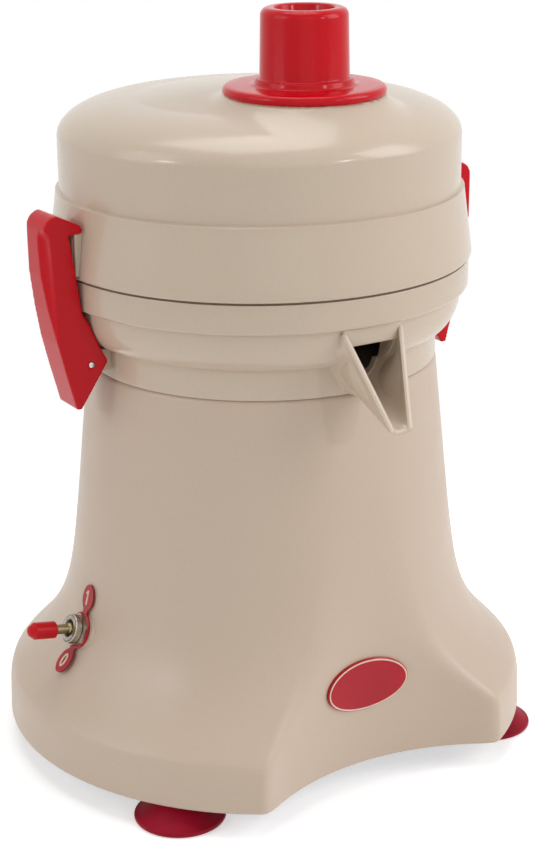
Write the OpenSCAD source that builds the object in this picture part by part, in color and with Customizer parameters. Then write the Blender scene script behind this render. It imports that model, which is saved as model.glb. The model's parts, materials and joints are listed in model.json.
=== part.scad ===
// Juice extractor: a centrifugal machine with a cast bell housing, a juice bowl with a pouring
// spout, a clamped lid with a feed chute and a pusher, and an induction motor under the deck.
// Origin on the worktop under the bowl's axis; the spout points along -Y, the clamps lie on the
// X axis and +Z is up. Every angle round the axis is counted from the front, positive to +X.

/* [Housing] */
// Reach of the housing's lower edge beyond the neck
skirt_over = 43.7; // [40.7:0.1:50.7]
// Height of the housing's lower edge above the worktop
foot_clear = 12; // [11:0.5:16]
// Height of the deck that the bowl stands on
deck_z = 188.7; // [184:0.1:200]
// Neck's radius at the deck, beyond the bowl's collar
neck_over = 0.1; // [0.1:0.1:2.8]
// Wall of the casting
wall = 4; // [3:0.5:5]
// Thickness of the deck
deck_t = 5; // [4:0.5:7]
// Height at which the shoulder runs into the flare
shoulder_z = 34.5; // [33:0.5:38]
// Radius of the shoulder above the skirt
shoulder_round = 25; // [16:0.5:30]
// Height over which the flare dies away into the neck
flare_h = 22; // [20:0.5:26]
// Distance of the front panel outside the neck
panel_over = 7.7; // [4.7:0.1:10.7]
// Radius of the scoop that forms the front and rear panels
scoop_r = 114; // [100:1:130]

/* [Bowl and lid] */
// Step of the bowl's collar inside its band
collar_in = 14.5; // [14.2:0.1:15.2]
// Height of the collar up to the bulge
collar_h = 14; // [12:0.5:16]
// Outer radius of the band round the bowl's rim
band_r = 95.7; // [94:0.1:97]
// Height of the bowl, from the deck to its rim
bowl_h = 46.7; // [46:0.1:49]
// Wall of the bowl
bowl_wall = 3; // [2.5:0.1:3.5]
// Overhang of the lid's lower edge over the bowl's band
lid_edge_over = 1.2; // [0.3:0.1:2.3]
// Step of the lid's upper wall inside the bowl's band
lid_wall_in = 4.3; // [3.7:0.1:5.7]
// Height of the lid, from its lower edge to the middle of the dome
lid_h = 76.9; // [76:0.1:80]
// Wall of the lid
lid_wall = 2.8; // [2.4:0.1:3.2]
// Distance of the feed chute from the axis, towards the spout
chute_y = 38.5; // [36:0.5:40]
// Bore radius of the feed chute
chute_bore_r = 26; // [24:0.5:26.5]

/* [Pusher] */
// Radius of the pusher's flange
flange_r = 35.8; // [34:0.1:38]
// Height of the grip above the flange
grip_h = 33; // [28:0.5:40]
// Radius of the grip at its foot
grip_r = 19.6; // [18:0.1:22]

/* [Clamps] */
// Distance of the clamp pins inside the bowl's band
pin_in = 3.2; // [2.2:0.1:3.7]
// Height of the clamp pins above the deck
pin_up = 9.2; // [8.5:0.1:10]
// Radius of the clamp pins
pin_r = 1.6; // [1.4:0.1:2]
// Width of a clamp
clamp_w = 18; // [16:0.5:20]
// Depth of a clamp outwards from its pin
clamp_d = 22.3; // [21:0.1:23]

/* [Switch] */
// Angle of the switch round the axis, from the front
switch_angle = -90; // [-98:1:-80]
// Height of the switch seat on the flare
switch_z = 67.5; // [65:0.5:70]
// Upward tilt of the switch's bushing
switch_tilt = 23; // [20:1:26]
// Full throw of the lever
switch_throw = 27; // [22:1:28]
// Radius of the threaded bushing
bushing_r = 5.95; // [5.8:0.05:6.2]
// Length of the lever outside the bushing, cap included
lever_reach = 22; // [20:0.5:26]

/* [Drive] */
// Radius of the motor shaft
shaft_r = 6; // [5:0.5:6.5]
// Radius of the stator stack
stator_r = 58; // [54:1:62]
// Height of the stator stack
stack_h = 60; // [50:1:62]
// Distance of the strainer basket's floor inside the bowl's collar
basket_in = 5.2; // [4.2:0.1:8.2]
// Height of the strainer basket
basket_h = 58; // [50:1:60]

/* [Feet] */
// Radius of a suction foot
foot_r = 20.8; // [19:0.1:23]
// Distance of the feet inside the housing's lower edge, sideways
foot_side_in = 39; // [37:0.5:43]
// Distance of the feet inside the housing's lower edge, forwards and backwards
foot_end_in = 56; // [54:0.5:58]

/* [Hidden] */
// Radii and places that follow the bowl's band
collar_r = band_r - collar_in;
neck_r = collar_r + neck_over;
skirt_r = neck_r + skirt_over;
panel_y = neck_r + panel_over;
lid_edge_r = band_r + lid_edge_over;
lid_wall_r = band_r - lid_wall_in;
pin_x = band_r - pin_in;
basket_r = collar_r - basket_in;
foot_x = skirt_r - foot_side_in;
foot_y = skirt_r - foot_end_in;

$fn = 96;

// Shared values
overrun = 1;              // how far a cut passes the face it opens
seat_gap = 0.1;           // between a piece and the seat it is pushed into
free_gap = 0.4;           // between pieces that must stay apart
turn_gap = 0.05;          // between a turning shaft and its bore
fine_fn = 48;             // facets of the view on small round pieces

// Housing
neck_draft = 0.1;         // growth of the neck's radius per unit of height downwards
flare_power = 1.3;        // how quickly the flare leaves the shoulder
shoulder_turn = 20;       // turn of the shoulder's arc, in degrees
skirt_draft = 0.4;        // how much the skirt narrows up to the shoulder
deck_round = 2.2;         // radius of the deck's outer edge
deck_turn = 15;           // where that edge leaves the neck's slope, in degrees
flare_steps = 14;         // straight runs that make up the flare
flare_spacing = 1.3;      // how much the runs lengthen upwards
arc_steps = 8;            // straight runs of a small arc
slope_step = wall / 4;    // height step for the flare's slope
flare_foot_r = skirt_r - skirt_draft - shoulder_round * (1 - cos(shoulder_turn));
flare_reach = flare_foot_r - neck_r - neck_draft * (deck_z - shoulder_z);
shoulder_start = shoulder_z - shoulder_round * sin(shoulder_turn);
cavity_top = deck_z - deck_t;
scoop_y = panel_y + scoop_r;
spigot_h = 4;             // height of the ring that centres the bowl
spigot_w = 2.6;           // width of that ring
spigot_r = collar_r - bowl_wall - free_gap;

function bell_r(z) = neck_r + neck_draft * (deck_z - z)
                   + flare_reach * exp(-pow(max(0, z - shoulder_z) / flare_h, flare_power));
function bell_slope(z) = (bell_r(z) - bell_r(z + slope_step)) / slope_step;
function cavity_r(z) = bell_r(z) - wall * sqrt(1 + pow(bell_slope(z), 2));
function flare_z(i, top) = shoulder_z + (top - shoulder_z) * pow(i / flare_steps, flare_spacing);

// Points of an arc about a centre, from one angle to another
function arc(c, r, from, to, steps) =
    [for (i = [0 : steps]) let (a = from + (to - from) * i / steps)
        [c[0] + r * cos(a), c[1] + r * sin(a)]];

// Base plate, feet and screws
plate_t = 2;
plate_up = 3;             // the plate's underside above the housing's edge
plate_z = foot_clear + plate_up;
plate_top = plate_z + plate_t;
stud_r = 3;
stud_head_r = 8;
stud_head_t = 2;
stud_h = 24;              // length of a stud above the base plate
boss_r = 9;
boss_over = 4;            // how far a boss runs up into the casting's wall
boss_top = shoulder_z + wall + boss_r + boss_over;
rear_foot_in = 8;         // how much closer to the middle the rear feet stand, both ways
foot_places = [[-foot_x, -foot_y], [foot_x, -foot_y],
               [rear_foot_in - foot_x, foot_y - rear_foot_in],
               [foot_x - rear_foot_in, foot_y - rear_foot_in]];
plate_screw_r = 2;
plate_screw_head_r = 3.8;
plate_screw_head_t = 2.4;
plate_screw_l = 14;
plate_boss_r = 5.5;
plate_screw_x = skirt_r - wall - plate_boss_r - plate_boss_r / 2;
foot_lip = 1.6;           // height and depth of the cup's rounded edge
foot_neck_r = 9;
foot_cup_h = 9;           // height of the cup under its neck
foot_hollow = 4;          // depth of the hollow under the cup
foot_ring_w = 3;          // width of the ring that meets the worktop
vent_w = 5;
vent_l = 34;
vent_count = 5;
vent_pitch = 12;

// Deck holes and motor mounting
mount_pcr = 50;           // radius of the circle of the mounting screws
mount_screw_r = 3;
mount_head_r = 5.2;
mount_head_t = 3;
isolator_r = 10;
isolator_h = 6;
seal_r = 16;

// Motor, stacked down from the deck
motor_top = cavity_top - isolator_h;
end_bell_h = 30;
end_bell_t = 5;
end_bell_wall = 4;
end_bell_over = 3;        // how far an end bell stands out over the stator
end_bell_r = stator_r + end_bell_over;
bearing_r = 16;
bearing_h = 10;
bearing_boss_w = 4;
bearing_groove_w = 2;
bearing_groove_t = 0.5;
shaft_clear = 1;          // round the shaft where it passes an end bell
stack_top = motor_top - end_bell_h;
stack_bottom = stack_top - stack_h;
motor_bottom = stack_bottom - end_bell_h;
air_gap = 0.4;
rotor_r = 30;
stator_bore_r = rotor_r + air_gap;
winding_h = 13;
winding_in = 34;
winding_out = 50;
rotor_ring_h = 5;
rotor_ring_w = 6;
through_bolt_r = 2;
through_bolt_pcr = 54;
through_bolt_head_r = 3.8;
through_bolt_head_t = 3;
fan_r = 48;
fan_h = 12;
fan_gap = 4;
fan_hub_r = 11;
fan_disc_t = 1.5;
fan_blade_t = 1.6;
fan_blades = 9;
fan_z = motor_bottom - fan_gap - fan_h;
shaft_below = 3;          // end of the shaft under the fan

// Bowl
collar_top = deck_z + collar_h;
band_h = 13.6;              // height of the band under the rim
rim_z = deck_z + bowl_h;
band_z = rim_z - band_h;
band_step = 3.2;          // how far the band stands out over the bulge
band_round = 1.8;         // radius of the band's lower corner
bulge_r = band_r - band_step;
bowl_floor_up = 4.6;      // underside of the bowl's floor above the deck
floor_z = deck_z + bowl_floor_up;
floor_top = floor_z + bowl_wall;
dam_r = 10;               // bore of the raised ring round the shaft
dam_wall = 3;
dam_h = 8;                // height of that ring above the floor
lug_w = 9;
lug_r = 5;

// Spout
spout_top_w = 31.4;       // width across the side walls at the lintel
spout_tip_w = 11.4;       // width across the side walls at the tip
spout_low_w = 12;         // width where the rounded underside begins, at the bowl
spout_low_h = 4;          // height of the rounded underside
spout_keel_up = 4;        // underside above the deck where the spout leaves the bowl
spout_wall = 2.6;
spout_under = 1.4;        // top of the spout below the band
spout_top_z = band_z - spout_under;
spout_front_y = 93;       // front of the lintel
spout_tip_y = 115.5;      // reach of the tip
spout_drop = 39;          // fall of the side walls from lintel to tip
spout_tip_t = 2;          // thickness of the floor at the tip
spout_tip_z = spout_top_z - spout_drop;
spout_splay = (spout_top_w - spout_tip_w) / spout_drop;
slice_t = 0.2;            // thickness of the slices that the spout is drawn between
lintel_h = 6.5;
lintel_rise = 4;          // how much the lintel's underside rises beyond the tip
mouth_w = 20.6;           // width of the opening in the bowl's wall
spout_root_in = 4.2;      // how far the spout's root lies inside the collar
mouth_in = 7.2;           // how far its channel starts inside the collar

// Lid
gasket_t = 0.8;
gasket_w = 2.4;
lid_z = rim_z + gasket_t;
lid_round = 1.6;
bead_up = 31.6;
bead_w = 1.7;
bead_z = lid_z + bead_up; // the line round the lid where its upper wall begins
bead_r = lid_wall_r + bead_w;
bead_h = 1.5;
lid_wall_h = 55.4;        // height of the lid up to its rounded shoulder
lid_turn_z = lid_z + lid_wall_h;
lid_shoulder_w = 34.3;    // how far the rounded shoulder reaches inwards
lid_shoulder_h = 16.2;
lid_top = lid_z + lid_h;
dome_steps = 8;
spigot_lid_h = 8;         // depth of the ring that centres the lid in the bowl
spigot_lid_w = 2.2;
spigot_lid_r = band_r - bowl_wall - free_gap;
boss_seat_z = lid_top + seat_gap;
chute_boss_r = 35;        // radius of the boss under the pusher's flange
chute_boss_flare = 0.74;  // growth of the boss's radius per unit of height downwards
catch_w = 15;
catch_h = 19.2;
catch_out = 1.1;          // the catch beyond the lid's lower edge
catch_x = lid_edge_r + catch_out;
catch_ribs = 3;
catch_groove = 1;
catch_up = 2;             // the catch above the lid's lower edge

// Chute and pusher
chute_wall = 2;
chute_collar_w = 3;
chute_collar_t = 1.6;
chute_lift = 4;           // gap between the chute's lower end and the grater disc
plunger_gap = 0.8;        // between the plunger and the chute
plunger_r = chute_bore_r - plunger_gap;
plunger_end = 2;          // the plunger's end above the chute's lower end
plunger_round = 1.5;
flange_t = 4.3;
flange_round = 1.8;
grip_ring_w = 1.8;        // ring round the foot of the grip
grip_ring_h = 2.6;
grip_taper = 0.5;
grip_round = 3.2;
dish_r = 13;
dish_depth = 6;
dish_round = 2.5;

// Basket and grater, stacked up from the hub
hub_gap = 1.6;            // between the dam and the hub
hub_dam_gap = 1;          // between the dam and the hub's skirt
hub_z = floor_top + dam_h + hub_gap;
hub_r = 22;
hub_t = 3;
hub_skirt_h = 3;
basket_z = hub_z + hub_t;
basket_t = 1.5;
basket_draft = 3;         // how much wider the basket is at its top
basket_rim_w = 2;
basket_rim_h = 3;
slot_count = 36;
slot_w = 1.4;
slot_h = 18;
slot_rows = 2;
slot_gap = 6;
grater_r = 72;
grater_t = 2;
grater_z = basket_z + basket_t;
tooth_h = 1.6;
tooth_w = 3;
tooth_t = 1;
tooth_rings = 5;
tooth_first_r = 18;
tooth_pitch = 12;         // from one ring of teeth to the next
tooth_count = 8;          // teeth in the first ring
tooth_more = 4;           // teeth that each further ring has more
nut_z = grater_z + grater_t;
nut_flats = 17;
nut_h = 8;
shaft_end = 2.4;          // end of the shaft above the nut
shaft_top = nut_z + nut_h + shaft_end;
chute_bottom = nut_z + chute_lift;

// Clamps
pin_z = deck_z + pin_up;
catch_top = lid_z + catch_up + catch_h;
hook_gap = 0.3;
hook_z = catch_top + hook_gap;
clamp_h = hook_z - pin_z;
hook_in = 2.2;            // how far the hook reaches inside the lid's edge
hook_tip_x = lid_edge_r - hook_in;
hook_tip_t = 2.6;
hook_back_share = 1.4;    // height of the hook's back, as a share of its tip
hook_share = 0.4;         // where the hook's underside begins, as a share of the depth
clamp_crown = 9;          // top of the clamp above the hook's underside
clamp_round = 7;
crown_turn = 80;          // turn of the crown's arc, in degrees
crown_share = 0.915;      // reach of the crown, as a share of the clamp's depth
slot_gap_w = 0.4;         // side play between the lug and the clamp
wedge_gap = 0.6;
wedge_r = lug_r + wedge_gap;
wedge_open = 37;          // opening of the clamp's slot, in degrees
flute_r = 6;
// Places of a flute's upper and lower end, outwards and sideways, as shares of its radius
flute_top_shares = [0.25, 0.25];
flute_foot_shares = [0.85, 0.5];
// Outer and inner edges of a clamp, as shares of its depth and height from the pin
clamp_outer_shares = [[0.26, -0.33], [0.35, -0.325], [0.56, -0.03], [0.71, 0.2], [0.82, 0.445],
                      [0.9, 0.7], [0.915, 0.93]];
clamp_inner_shares = [[0.39, 0.98], [0.26, 0.654], [0.166, 0.396], [0.022, 0.316],
                      [-0.161, 0.149], [-0.355, 0.01]];

// Cable gland
gland_z = 32;
gland_r = 8;
gland_bore_r = 4.25;
gland_flats = 20;
gland_hex_t = 6;
gland_neck_r = 7;
gland_neck_l = 12;
gland_cap_r = 9.6;
gland_cap_l = 11;
gland_nut_t = 4;
gland_nut_flats = 22;
gland_cap_share = 0.6;    // straight part of the cap, as a share of its length
gland_cap_lip = 1;        // wall of the cap at its end
gland_inside = 10;

// Parts on the base plate
capacitor_r = 13;
capacitor_l = 54;
capacitor_y = -60;
capacitor_up = 2;         // the capacitor above the base plate
capacitor_z = plate_top + capacitor_r + capacitor_up;
capacitor_tab_l = 8;
capacitor_tab_t = 1;
clip_t = 1.5;
clip_w = 14;
clip_foot_l = 9;
block_l = 42;
block_w = 15;
block_h = 13;
block_x = -34;
block_y = 58;
block_ways = 4;

// Badge
badge_l = 44;
badge_h = 24.6;
badge_z = 51.8;
badge_t = 1.4;
badge_rim_w = 1.1;
badge_rim_t = 0.5;
badge_steps = 60;

// Switch
seat_r = bell_r(switch_z);
pad_r = 8;
pad_up = 1.35;            // the pad's face over the surface of the flare
bushing_out = 7.7;        // end of the bushing outside the seat
bushing_bore_r = 2.9;
bushing_mouth_r = 4.3;
hex_flats = 14.2;
hex_t = 2.1;
ring_nut_r = 6.9;
ring_nut_t = 3.5;
ring_nut_share = 0.8;     // straight part of the ring nut, as a share of its thickness
washer_r = 8.6;
washer_t = 0.6;
washer_gap = 0.6;         // between the washer and the curved wall
body_z = -wall - washer_gap - washer_t;
body_w = 16;
body_h = 22;
body_d = 17;
terminal_l = 6;
terminal_t = 1;
sheet_t = 0.7;            // thickness of the marked plate
sheet_disc_r = 8.6;
ear_w = 9.6;
ear_l = 12.6;
ear_reach = 16;         // middle of an ear from the bushing, along the surface
ear_neck_w = 4;
ear_up_bend = 8;          // bend of the upper ear, in degrees
ear_down_bend = 18;
digit_t = 0.3;
digit_h = 7;
digit_w = 3.8;
digit_line = 1.1;
lever_r = 2.3;
cap_r = 4;
cap_l = 14;
cap_bore_gap = 0.02;
cap_point = 3.4;          // length of the cap's point
cap_nose_share = 0.55;    // radius where the point rounds over, as a share of the cap's
pivot_in = 1;             // lever's pivot inside the bushing's end
ball_r = 2.75;
pivot_pin_r = 0.8;
pivot_pin_l = 6.8;

// A solid of revolution from an outline of [radius, height] points
module turned(points) {
    rotate_extrude() polygon(points);
}

// A plate-like prism across the Y axis from an outline of [x, z] points
module across(points, width) {
    rotate([90, 0, 0])
        linear_extrude(height = width, center = true) polygon(points);
}

// A round bar between two points
module bar(from, to, r) {
    d = to - from;
    translate(from)
        rotate([0, acos(d[2] / norm(d)), atan2(d[1], d[0])])
            cylinder(r = r, h = norm(d));
}

// A hexagonal prism, given across its flats
module hexagon(flats, h) {
    cylinder(r = flats / 2 / cos(30), h = h, $fn = 6);
}

// A ring with square edges
module ring(outer, inner, h) {
    difference() {
        cylinder(r = outer, h = h);
        translate([0, 0, -overrun])
            cylinder(r = inner, h = h + 2 * overrun);
    }
}

// Copies at the four feet
module at_feet() {
    for (place = foot_places)
        translate(place)
            children();
}

// Copies on a circle round the axis
module round_axis(count, r, start = 0) {
    for (i = [0 : count - 1])
        rotate([0, 0, start + i * 360 / count])
            translate([r, 0, 0])
                children();
}

// The switch's own frame: +X along the bushing outwards, +Z up along the surface
module at_switch() {
    rotate([0, 0, switch_angle - 90])
        translate([seat_r, 0, switch_z])
            rotate([0, -switch_tilt, 0])
                children();
}

// Bell outside: skirt, rounded shoulder, concave flare, neck and deck
module bell_outside() {
    neck_top = deck_z - deck_round;
    turned(concat(
        [[0, foot_clear], [skirt_r, foot_clear]],
        arc([flare_foot_r - shoulder_round * cos(shoulder_turn), shoulder_start],
            shoulder_round, 0, shoulder_turn, arc_steps),
        [for (i = [1 : flare_steps]) let (z = flare_z(i, neck_top)) [bell_r(z), z]],
        arc([bell_r(neck_top) - deck_round, neck_top], deck_round, deck_turn, 90, arc_steps),
        [[0, deck_z]]));
}

module bell_inside() {
    turned(concat(
        [[0, foot_clear - overrun], [skirt_r - wall, foot_clear - overrun],
         [skirt_r - skirt_draft - wall, shoulder_start]],
        [for (i = [0 : flare_steps]) let (z = flare_z(i, cavity_top)) [cavity_r(z), z]],
        [[0, cavity_top]]));
}

// The two scoops, in front and behind, grown by a margin
module scoops(margin) {
    for (side = [-1, 1])
        translate([0, side * scoop_y, foot_clear - 2 * overrun])
            cylinder(r = scoop_r + margin, h = deck_z);
}

module foot_bosses() {
    at_feet()
        translate([0, 0, plate_top])
            cylinder(r = boss_r, h = boss_top - plate_top, $fn = fine_fn);
    for (side = [-1, 1])
        translate([side * plate_screw_x, 0, plate_top])
            cylinder(r = plate_boss_r, h = boss_top - plate_top, $fn = fine_fn);
}

module base_shell() {
    color("#cbbfa9")
    difference() {
        union() {
            difference() {
                bell_outside();
                scoops(0);
                difference() {
                    bell_inside();
                    scoops(wall);
                    foot_bosses();
                }
            }
            translate([0, 0, deck_z])
                ring(spigot_r, spigot_r - spigot_w, spigot_h);
            at_switch()
                translate([-wall / 2, 0, 0])
                    rotate([0, 90, 0])
                        cylinder(r = pad_r, h = wall / 2 + pad_up, $fn = fine_fn);
        }
        at_feet()
            translate([0, 0, plate_top - overrun])
                cylinder(r = stud_r + seat_gap, h = stud_h + 2 * overrun, $fn = fine_fn);
        for (side = [-1, 1])
            translate([side * plate_screw_x, 0, plate_top - overrun])
                cylinder(r = plate_screw_r + seat_gap, h = plate_screw_l + overrun, $fn = fine_fn);
        translate([0, 0, cavity_top - overrun])
            cylinder(r = seal_r + seat_gap, h = deck_t + 2 * overrun);
        round_axis(4, mount_pcr, 45) {
            translate([0, 0, cavity_top - overrun])
                cylinder(r = mount_screw_r + seat_gap, h = deck_t + 2 * overrun, $fn = fine_fn);
            translate([0, 0, deck_z - mount_head_t - seat_gap])
                cylinder(r = mount_head_r + free_gap, h = mount_head_t + overrun, $fn = fine_fn);
        }
        translate([0, panel_y - wall - overrun, gland_z])
            rotate([-90, 0, 0])
                cylinder(r = gland_r + seat_gap, h = wall + 2 * overrun, $fn = fine_fn);
        translate([0, panel_y, gland_z])
            rotate([-90, 0, 0])
                cylinder(r = gland_flats / 2 / cos(30) + free_gap, h = wall, $fn = fine_fn);
        at_switch() {
            translate([-2 * wall, 0, 0])
                rotate([0, 90, 0])
                    cylinder(r = bushing_r + seat_gap, h = 3 * wall, $fn = fine_fn);
        }
    }
}

module base_plate() {
    color("#9a9a98")
    difference() {
        translate([0, 0, plate_z])
            cylinder(r = skirt_r - skirt_draft - wall - free_gap, h = plate_t);
        scoops(wall + free_gap);
        at_feet()
            translate([0, 0, plate_z - overrun])
                cylinder(r = stud_r + seat_gap, h = plate_t + 2 * overrun, $fn = fine_fn);
        for (side = [-1, 1])
            translate([side * plate_screw_x, 0, plate_z - overrun])
                cylinder(r = plate_screw_r + seat_gap, h = plate_t + 2 * overrun, $fn = fine_fn);
        for (i = [0 : vent_count - 1])
            translate([-vent_l / 2, (i - (vent_count - 1) / 2) * vent_pitch - vent_w / 2,
                       plate_z - overrun])
                cube([vent_l, vent_w, plate_t + 2 * overrun]);
    }
}

module base_plate_screws() {
    color("#b8b8b6")
    for (side = [-1, 1])
        translate([side * plate_screw_x, 0, plate_z]) {
            cylinder(r = plate_screw_r, h = plate_screw_l, $fn = fine_fn);
            translate([0, 0, -plate_screw_head_t])
                cylinder(r = plate_screw_head_r, h = plate_screw_head_t, $fn = fine_fn);
        }
}

// A rubber suction cup whose neck meets the base plate, with the stud's head moulded in
module suction_foot(place) {
    color("#c9161f")
    translate(place)
        difference() {
            turned([[0, foot_hollow], [foot_r - foot_lip - foot_ring_w, 0],
                    [foot_r - foot_lip, 0], [foot_r, foot_lip],
                    [foot_r - foot_lip / 2, 2 * foot_lip],
                    [foot_neck_r + foot_lip, foot_cup_h], [foot_neck_r, foot_cup_h + foot_lip],
                    [foot_neck_r, plate_z], [0, plate_z]]);
            stud(seat_gap);
        }
}

module stud(gap) {
    translate([0, 0, plate_z - 2 * stud_head_t - gap])
        cylinder(r = stud_head_r + gap, h = stud_head_t + 2 * gap, $fn = fine_fn);
    translate([0, 0, plate_z - 2 * stud_head_t])
        cylinder(r = stud_r + gap, h = 2 * stud_head_t + plate_t + stud_h, $fn = fine_fn);
}

module foot_front_left() {
    suction_foot(foot_places[0]);
}

module foot_front_right() {
    suction_foot(foot_places[1]);
}

module foot_rear_left() {
    suction_foot(foot_places[2]);
}

module foot_rear_right() {
    suction_foot(foot_places[3]);
}

module foot_studs() {
    color("#b8b8b6")
    at_feet()
        stud(0);
}

// Gland body through the rear panel: thread inside, hexagon and neck outside, one straight bore
module cable_gland() {
    color("#2b2b2c")
    translate([0, panel_y, gland_z])
        rotate([-90, 0, 0])
            difference() {
                union() {
                    translate([0, 0, -gland_inside])
                        cylinder(r = gland_r, h = gland_inside + overrun, $fn = fine_fn);
                    hexagon(gland_flats, gland_hex_t);
                    cylinder(r = gland_neck_r, h = gland_hex_t + gland_neck_l, $fn = fine_fn);
                }
                translate([0, 0, -gland_inside - overrun])
                    cylinder(r = gland_bore_r, h = gland_inside + gland_hex_t + gland_neck_l
                             + 2 * overrun, $fn = fine_fn);
            }
}

module gland_cap_nut() {
    color("#2b2b2c")
    translate([0, panel_y + gland_hex_t, gland_z])
        rotate([-90, 0, 0])
            difference() {
                turned([[0, 0], [gland_cap_r, 0], [gland_cap_r, gland_cap_l * gland_cap_share],
                        [gland_neck_r + seat_gap + gland_cap_lip, gland_cap_l], [0, gland_cap_l]]);
                translate([0, 0, -overrun])
                    cylinder(r = gland_neck_r + seat_gap, h = gland_cap_l + 2 * overrun,
                             $fn = fine_fn);
            }
}

module gland_locknut() {
    color("#2b2b2c")
    translate([0, panel_y - wall, gland_z])
        rotate([90, 0, 0])
            difference() {
                hexagon(gland_nut_flats, gland_nut_t);
                translate([0, 0, -overrun])
                    cylinder(r = gland_r + seat_gap, h = gland_nut_t + 2 * overrun, $fn = fine_fn);
            }
}

module terminal_block() {
    color("#e8e6df")
    difference() {
        translate([block_x - block_l / 2, block_y - block_w / 2, plate_top])
            cube([block_l, block_w, block_h]);
        for (i = [0 : block_ways - 1])
            translate([block_x + (i - (block_ways - 1) / 2) * block_l / block_ways, block_y,
                       plate_top + block_h / 2])
                cylinder(r = block_l / block_ways / 4, h = block_h, $fn = fine_fn);
    }
}

module run_capacitor() {
    color("#dcdad4")
    translate([-capacitor_l / 2, capacitor_y, capacitor_z])
        rotate([0, 90, 0]) {
            cylinder(r = capacitor_r, h = capacitor_l, $fn = fine_fn);
            for (side = [-1, 1])
                translate([-capacitor_r / 4, side * capacitor_r / 2, capacitor_l])
                    cube([capacitor_r / 2, capacitor_tab_t, capacitor_tab_l]);
        }
}

module capacitor_clip() {
    color("#b8b8b6")
    translate([-clip_w / 2, capacitor_y, 0]) {
        translate([0, 0, capacitor_z])
            rotate([0, 90, 0])
                ring(capacitor_r + seat_gap + clip_t, capacitor_r + seat_gap, clip_w);
        for (side = [-1, 1])
            translate([0, side * (capacitor_r + seat_gap + clip_t / 2) - clip_t / 2, plate_top])
                cube([clip_w, clip_t, capacitor_z - plate_top]);
        for (side = [0, 1])
            mirror([0, side, 0])
                translate([0, capacitor_r + seat_gap, plate_top])
                    cube([clip_w, clip_foot_l, clip_t]);
    }
}

// Oval badge bent to the concave front panel, with a raised border and no marks
module front_badge() {
    oval = [for (i = [0 : badge_steps - 1]) let (a = 360 * i / badge_steps)
            [badge_l / 2 * cos(a), badge_h / 2 * sin(a)]];
    inner = [for (p = oval) p * (badge_l / 2 - badge_rim_w) / (badge_l / 2)];
    color("#b3121c") {
        badge_slice(oval, badge_t);
        difference() {
            badge_slice(oval, badge_t + badge_rim_t);
            badge_slice(inner, badge_t + 2 * badge_rim_t);
        }
    }
}

module badge_slice(outline, t) {
    intersection() {
        translate([0, -panel_y + wall, badge_z])
            rotate([90, 0, 0])
                linear_extrude(height = 3 * wall) polygon(outline);
        translate([0, -scoop_y, 0])
            ring(scoop_r - seat_gap, scoop_r - seat_gap - t, deck_z);
    }
}

module switch_body() {
    color("#33302e")
    at_switch() {
        translate([body_z - body_d, -body_w / 2, -body_h / 2])
            cube([body_d, body_w, body_h]);
        for (i = [-1, 1])
            translate([body_z - body_d - terminal_l, -body_w / 4,
                       i * body_h / 3 - terminal_t / 2])
                cube([terminal_l, body_w / 2, terminal_t]);
    }
}

module switch_bushing() {
    color("#b9b6ae")
    at_switch()
        rotate([0, 90, 0])
            difference() {
                translate([0, 0, body_z])
                    cylinder(r = bushing_r, h = bushing_out - body_z, $fn = fine_fn);
                translate([0, 0, -wall])
                    cylinder(r = bushing_bore_r, h = wall + bushing_out + overrun, $fn = fine_fn);
                translate([0, 0, bushing_out - pivot_in - ball_r])
                    cylinder(r1 = bushing_bore_r, r2 = bushing_mouth_r,
                             h = pivot_in + ball_r + overrun / 4, $fn = fine_fn);
            }
}

module switch_lock_washer() {
    color("#a8a59d")
    at_switch()
        translate([body_z, 0, 0])
            rotate([0, 90, 0])
                ring(washer_r, bushing_r + seat_gap, washer_t);
}

module switch_hex_nut() {
    color("#c2beb4")
    at_switch()
        translate([pad_up + sheet_t, 0, 0])
            rotate([0, 90, 0])
                difference() {
                    hexagon(hex_flats, hex_t);
                    translate([0, 0, -overrun])
                        cylinder(r = bushing_r + seat_gap, h = hex_t + 2 * overrun, $fn = fine_fn);
                }
}

module switch_ring_nut() {
    color("#c2beb4")
    at_switch()
        translate([pad_up + sheet_t + hex_t, 0, 0])
            rotate([0, 90, 0])
                difference() {
                    turned([[0, 0], [ring_nut_r, 0], [ring_nut_r, ring_nut_t * ring_nut_share],
                            [ring_nut_r - ring_nut_t / 5, ring_nut_t], [0, ring_nut_t]]);
                    translate([0, 0, -overrun])
                        cylinder(r = bushing_r + seat_gap, h = ring_nut_t + 2 * overrun,
                                 $fn = fine_fn);
                }
}

// Frame of an ear of the marked plate: side 1 above the bushing, side -1 below it
module at_ear(side) {
    translate([pad_up, 0, side * sheet_disc_r])
        rotate([0, side > 0 ? ear_up_bend : -ear_down_bend, 0])
            translate([0, 0, side * (ear_reach - sheet_disc_r)])
                rotate([0, 90, 0])
                    rotate([0, 0, 90])
                        children();
}

function oval_points(w, h) =
    [for (i = [0 : fine_fn - 1]) let (a = 360 * i / fine_fn) [w / 2 * cos(a), h / 2 * sin(a)]];

module switch_plate() {
    color("#c9161f")
    at_switch()
        difference() {
            union() {
                translate([pad_up, 0, 0])
                    rotate([0, 90, 0])
                        cylinder(r = sheet_disc_r, h = sheet_t, $fn = fine_fn);
                for (side = [-1, 1])
                    at_ear(side) {
                        linear_extrude(height = sheet_t) polygon(oval_points(ear_w, ear_l));
                        neck = ear_reach - sheet_disc_r + sheet_t / 2;
                        translate([-ear_neck_w / 2, side > 0 ? -neck : 0, 0])
                            cube([ear_neck_w, neck, sheet_t]);
                    }
            }
            translate([-wall, 0, 0])
                rotate([0, 90, 0])
                    cylinder(r = bushing_r + seat_gap, h = 2 * wall, $fn = fine_fn);
        }
}

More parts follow.
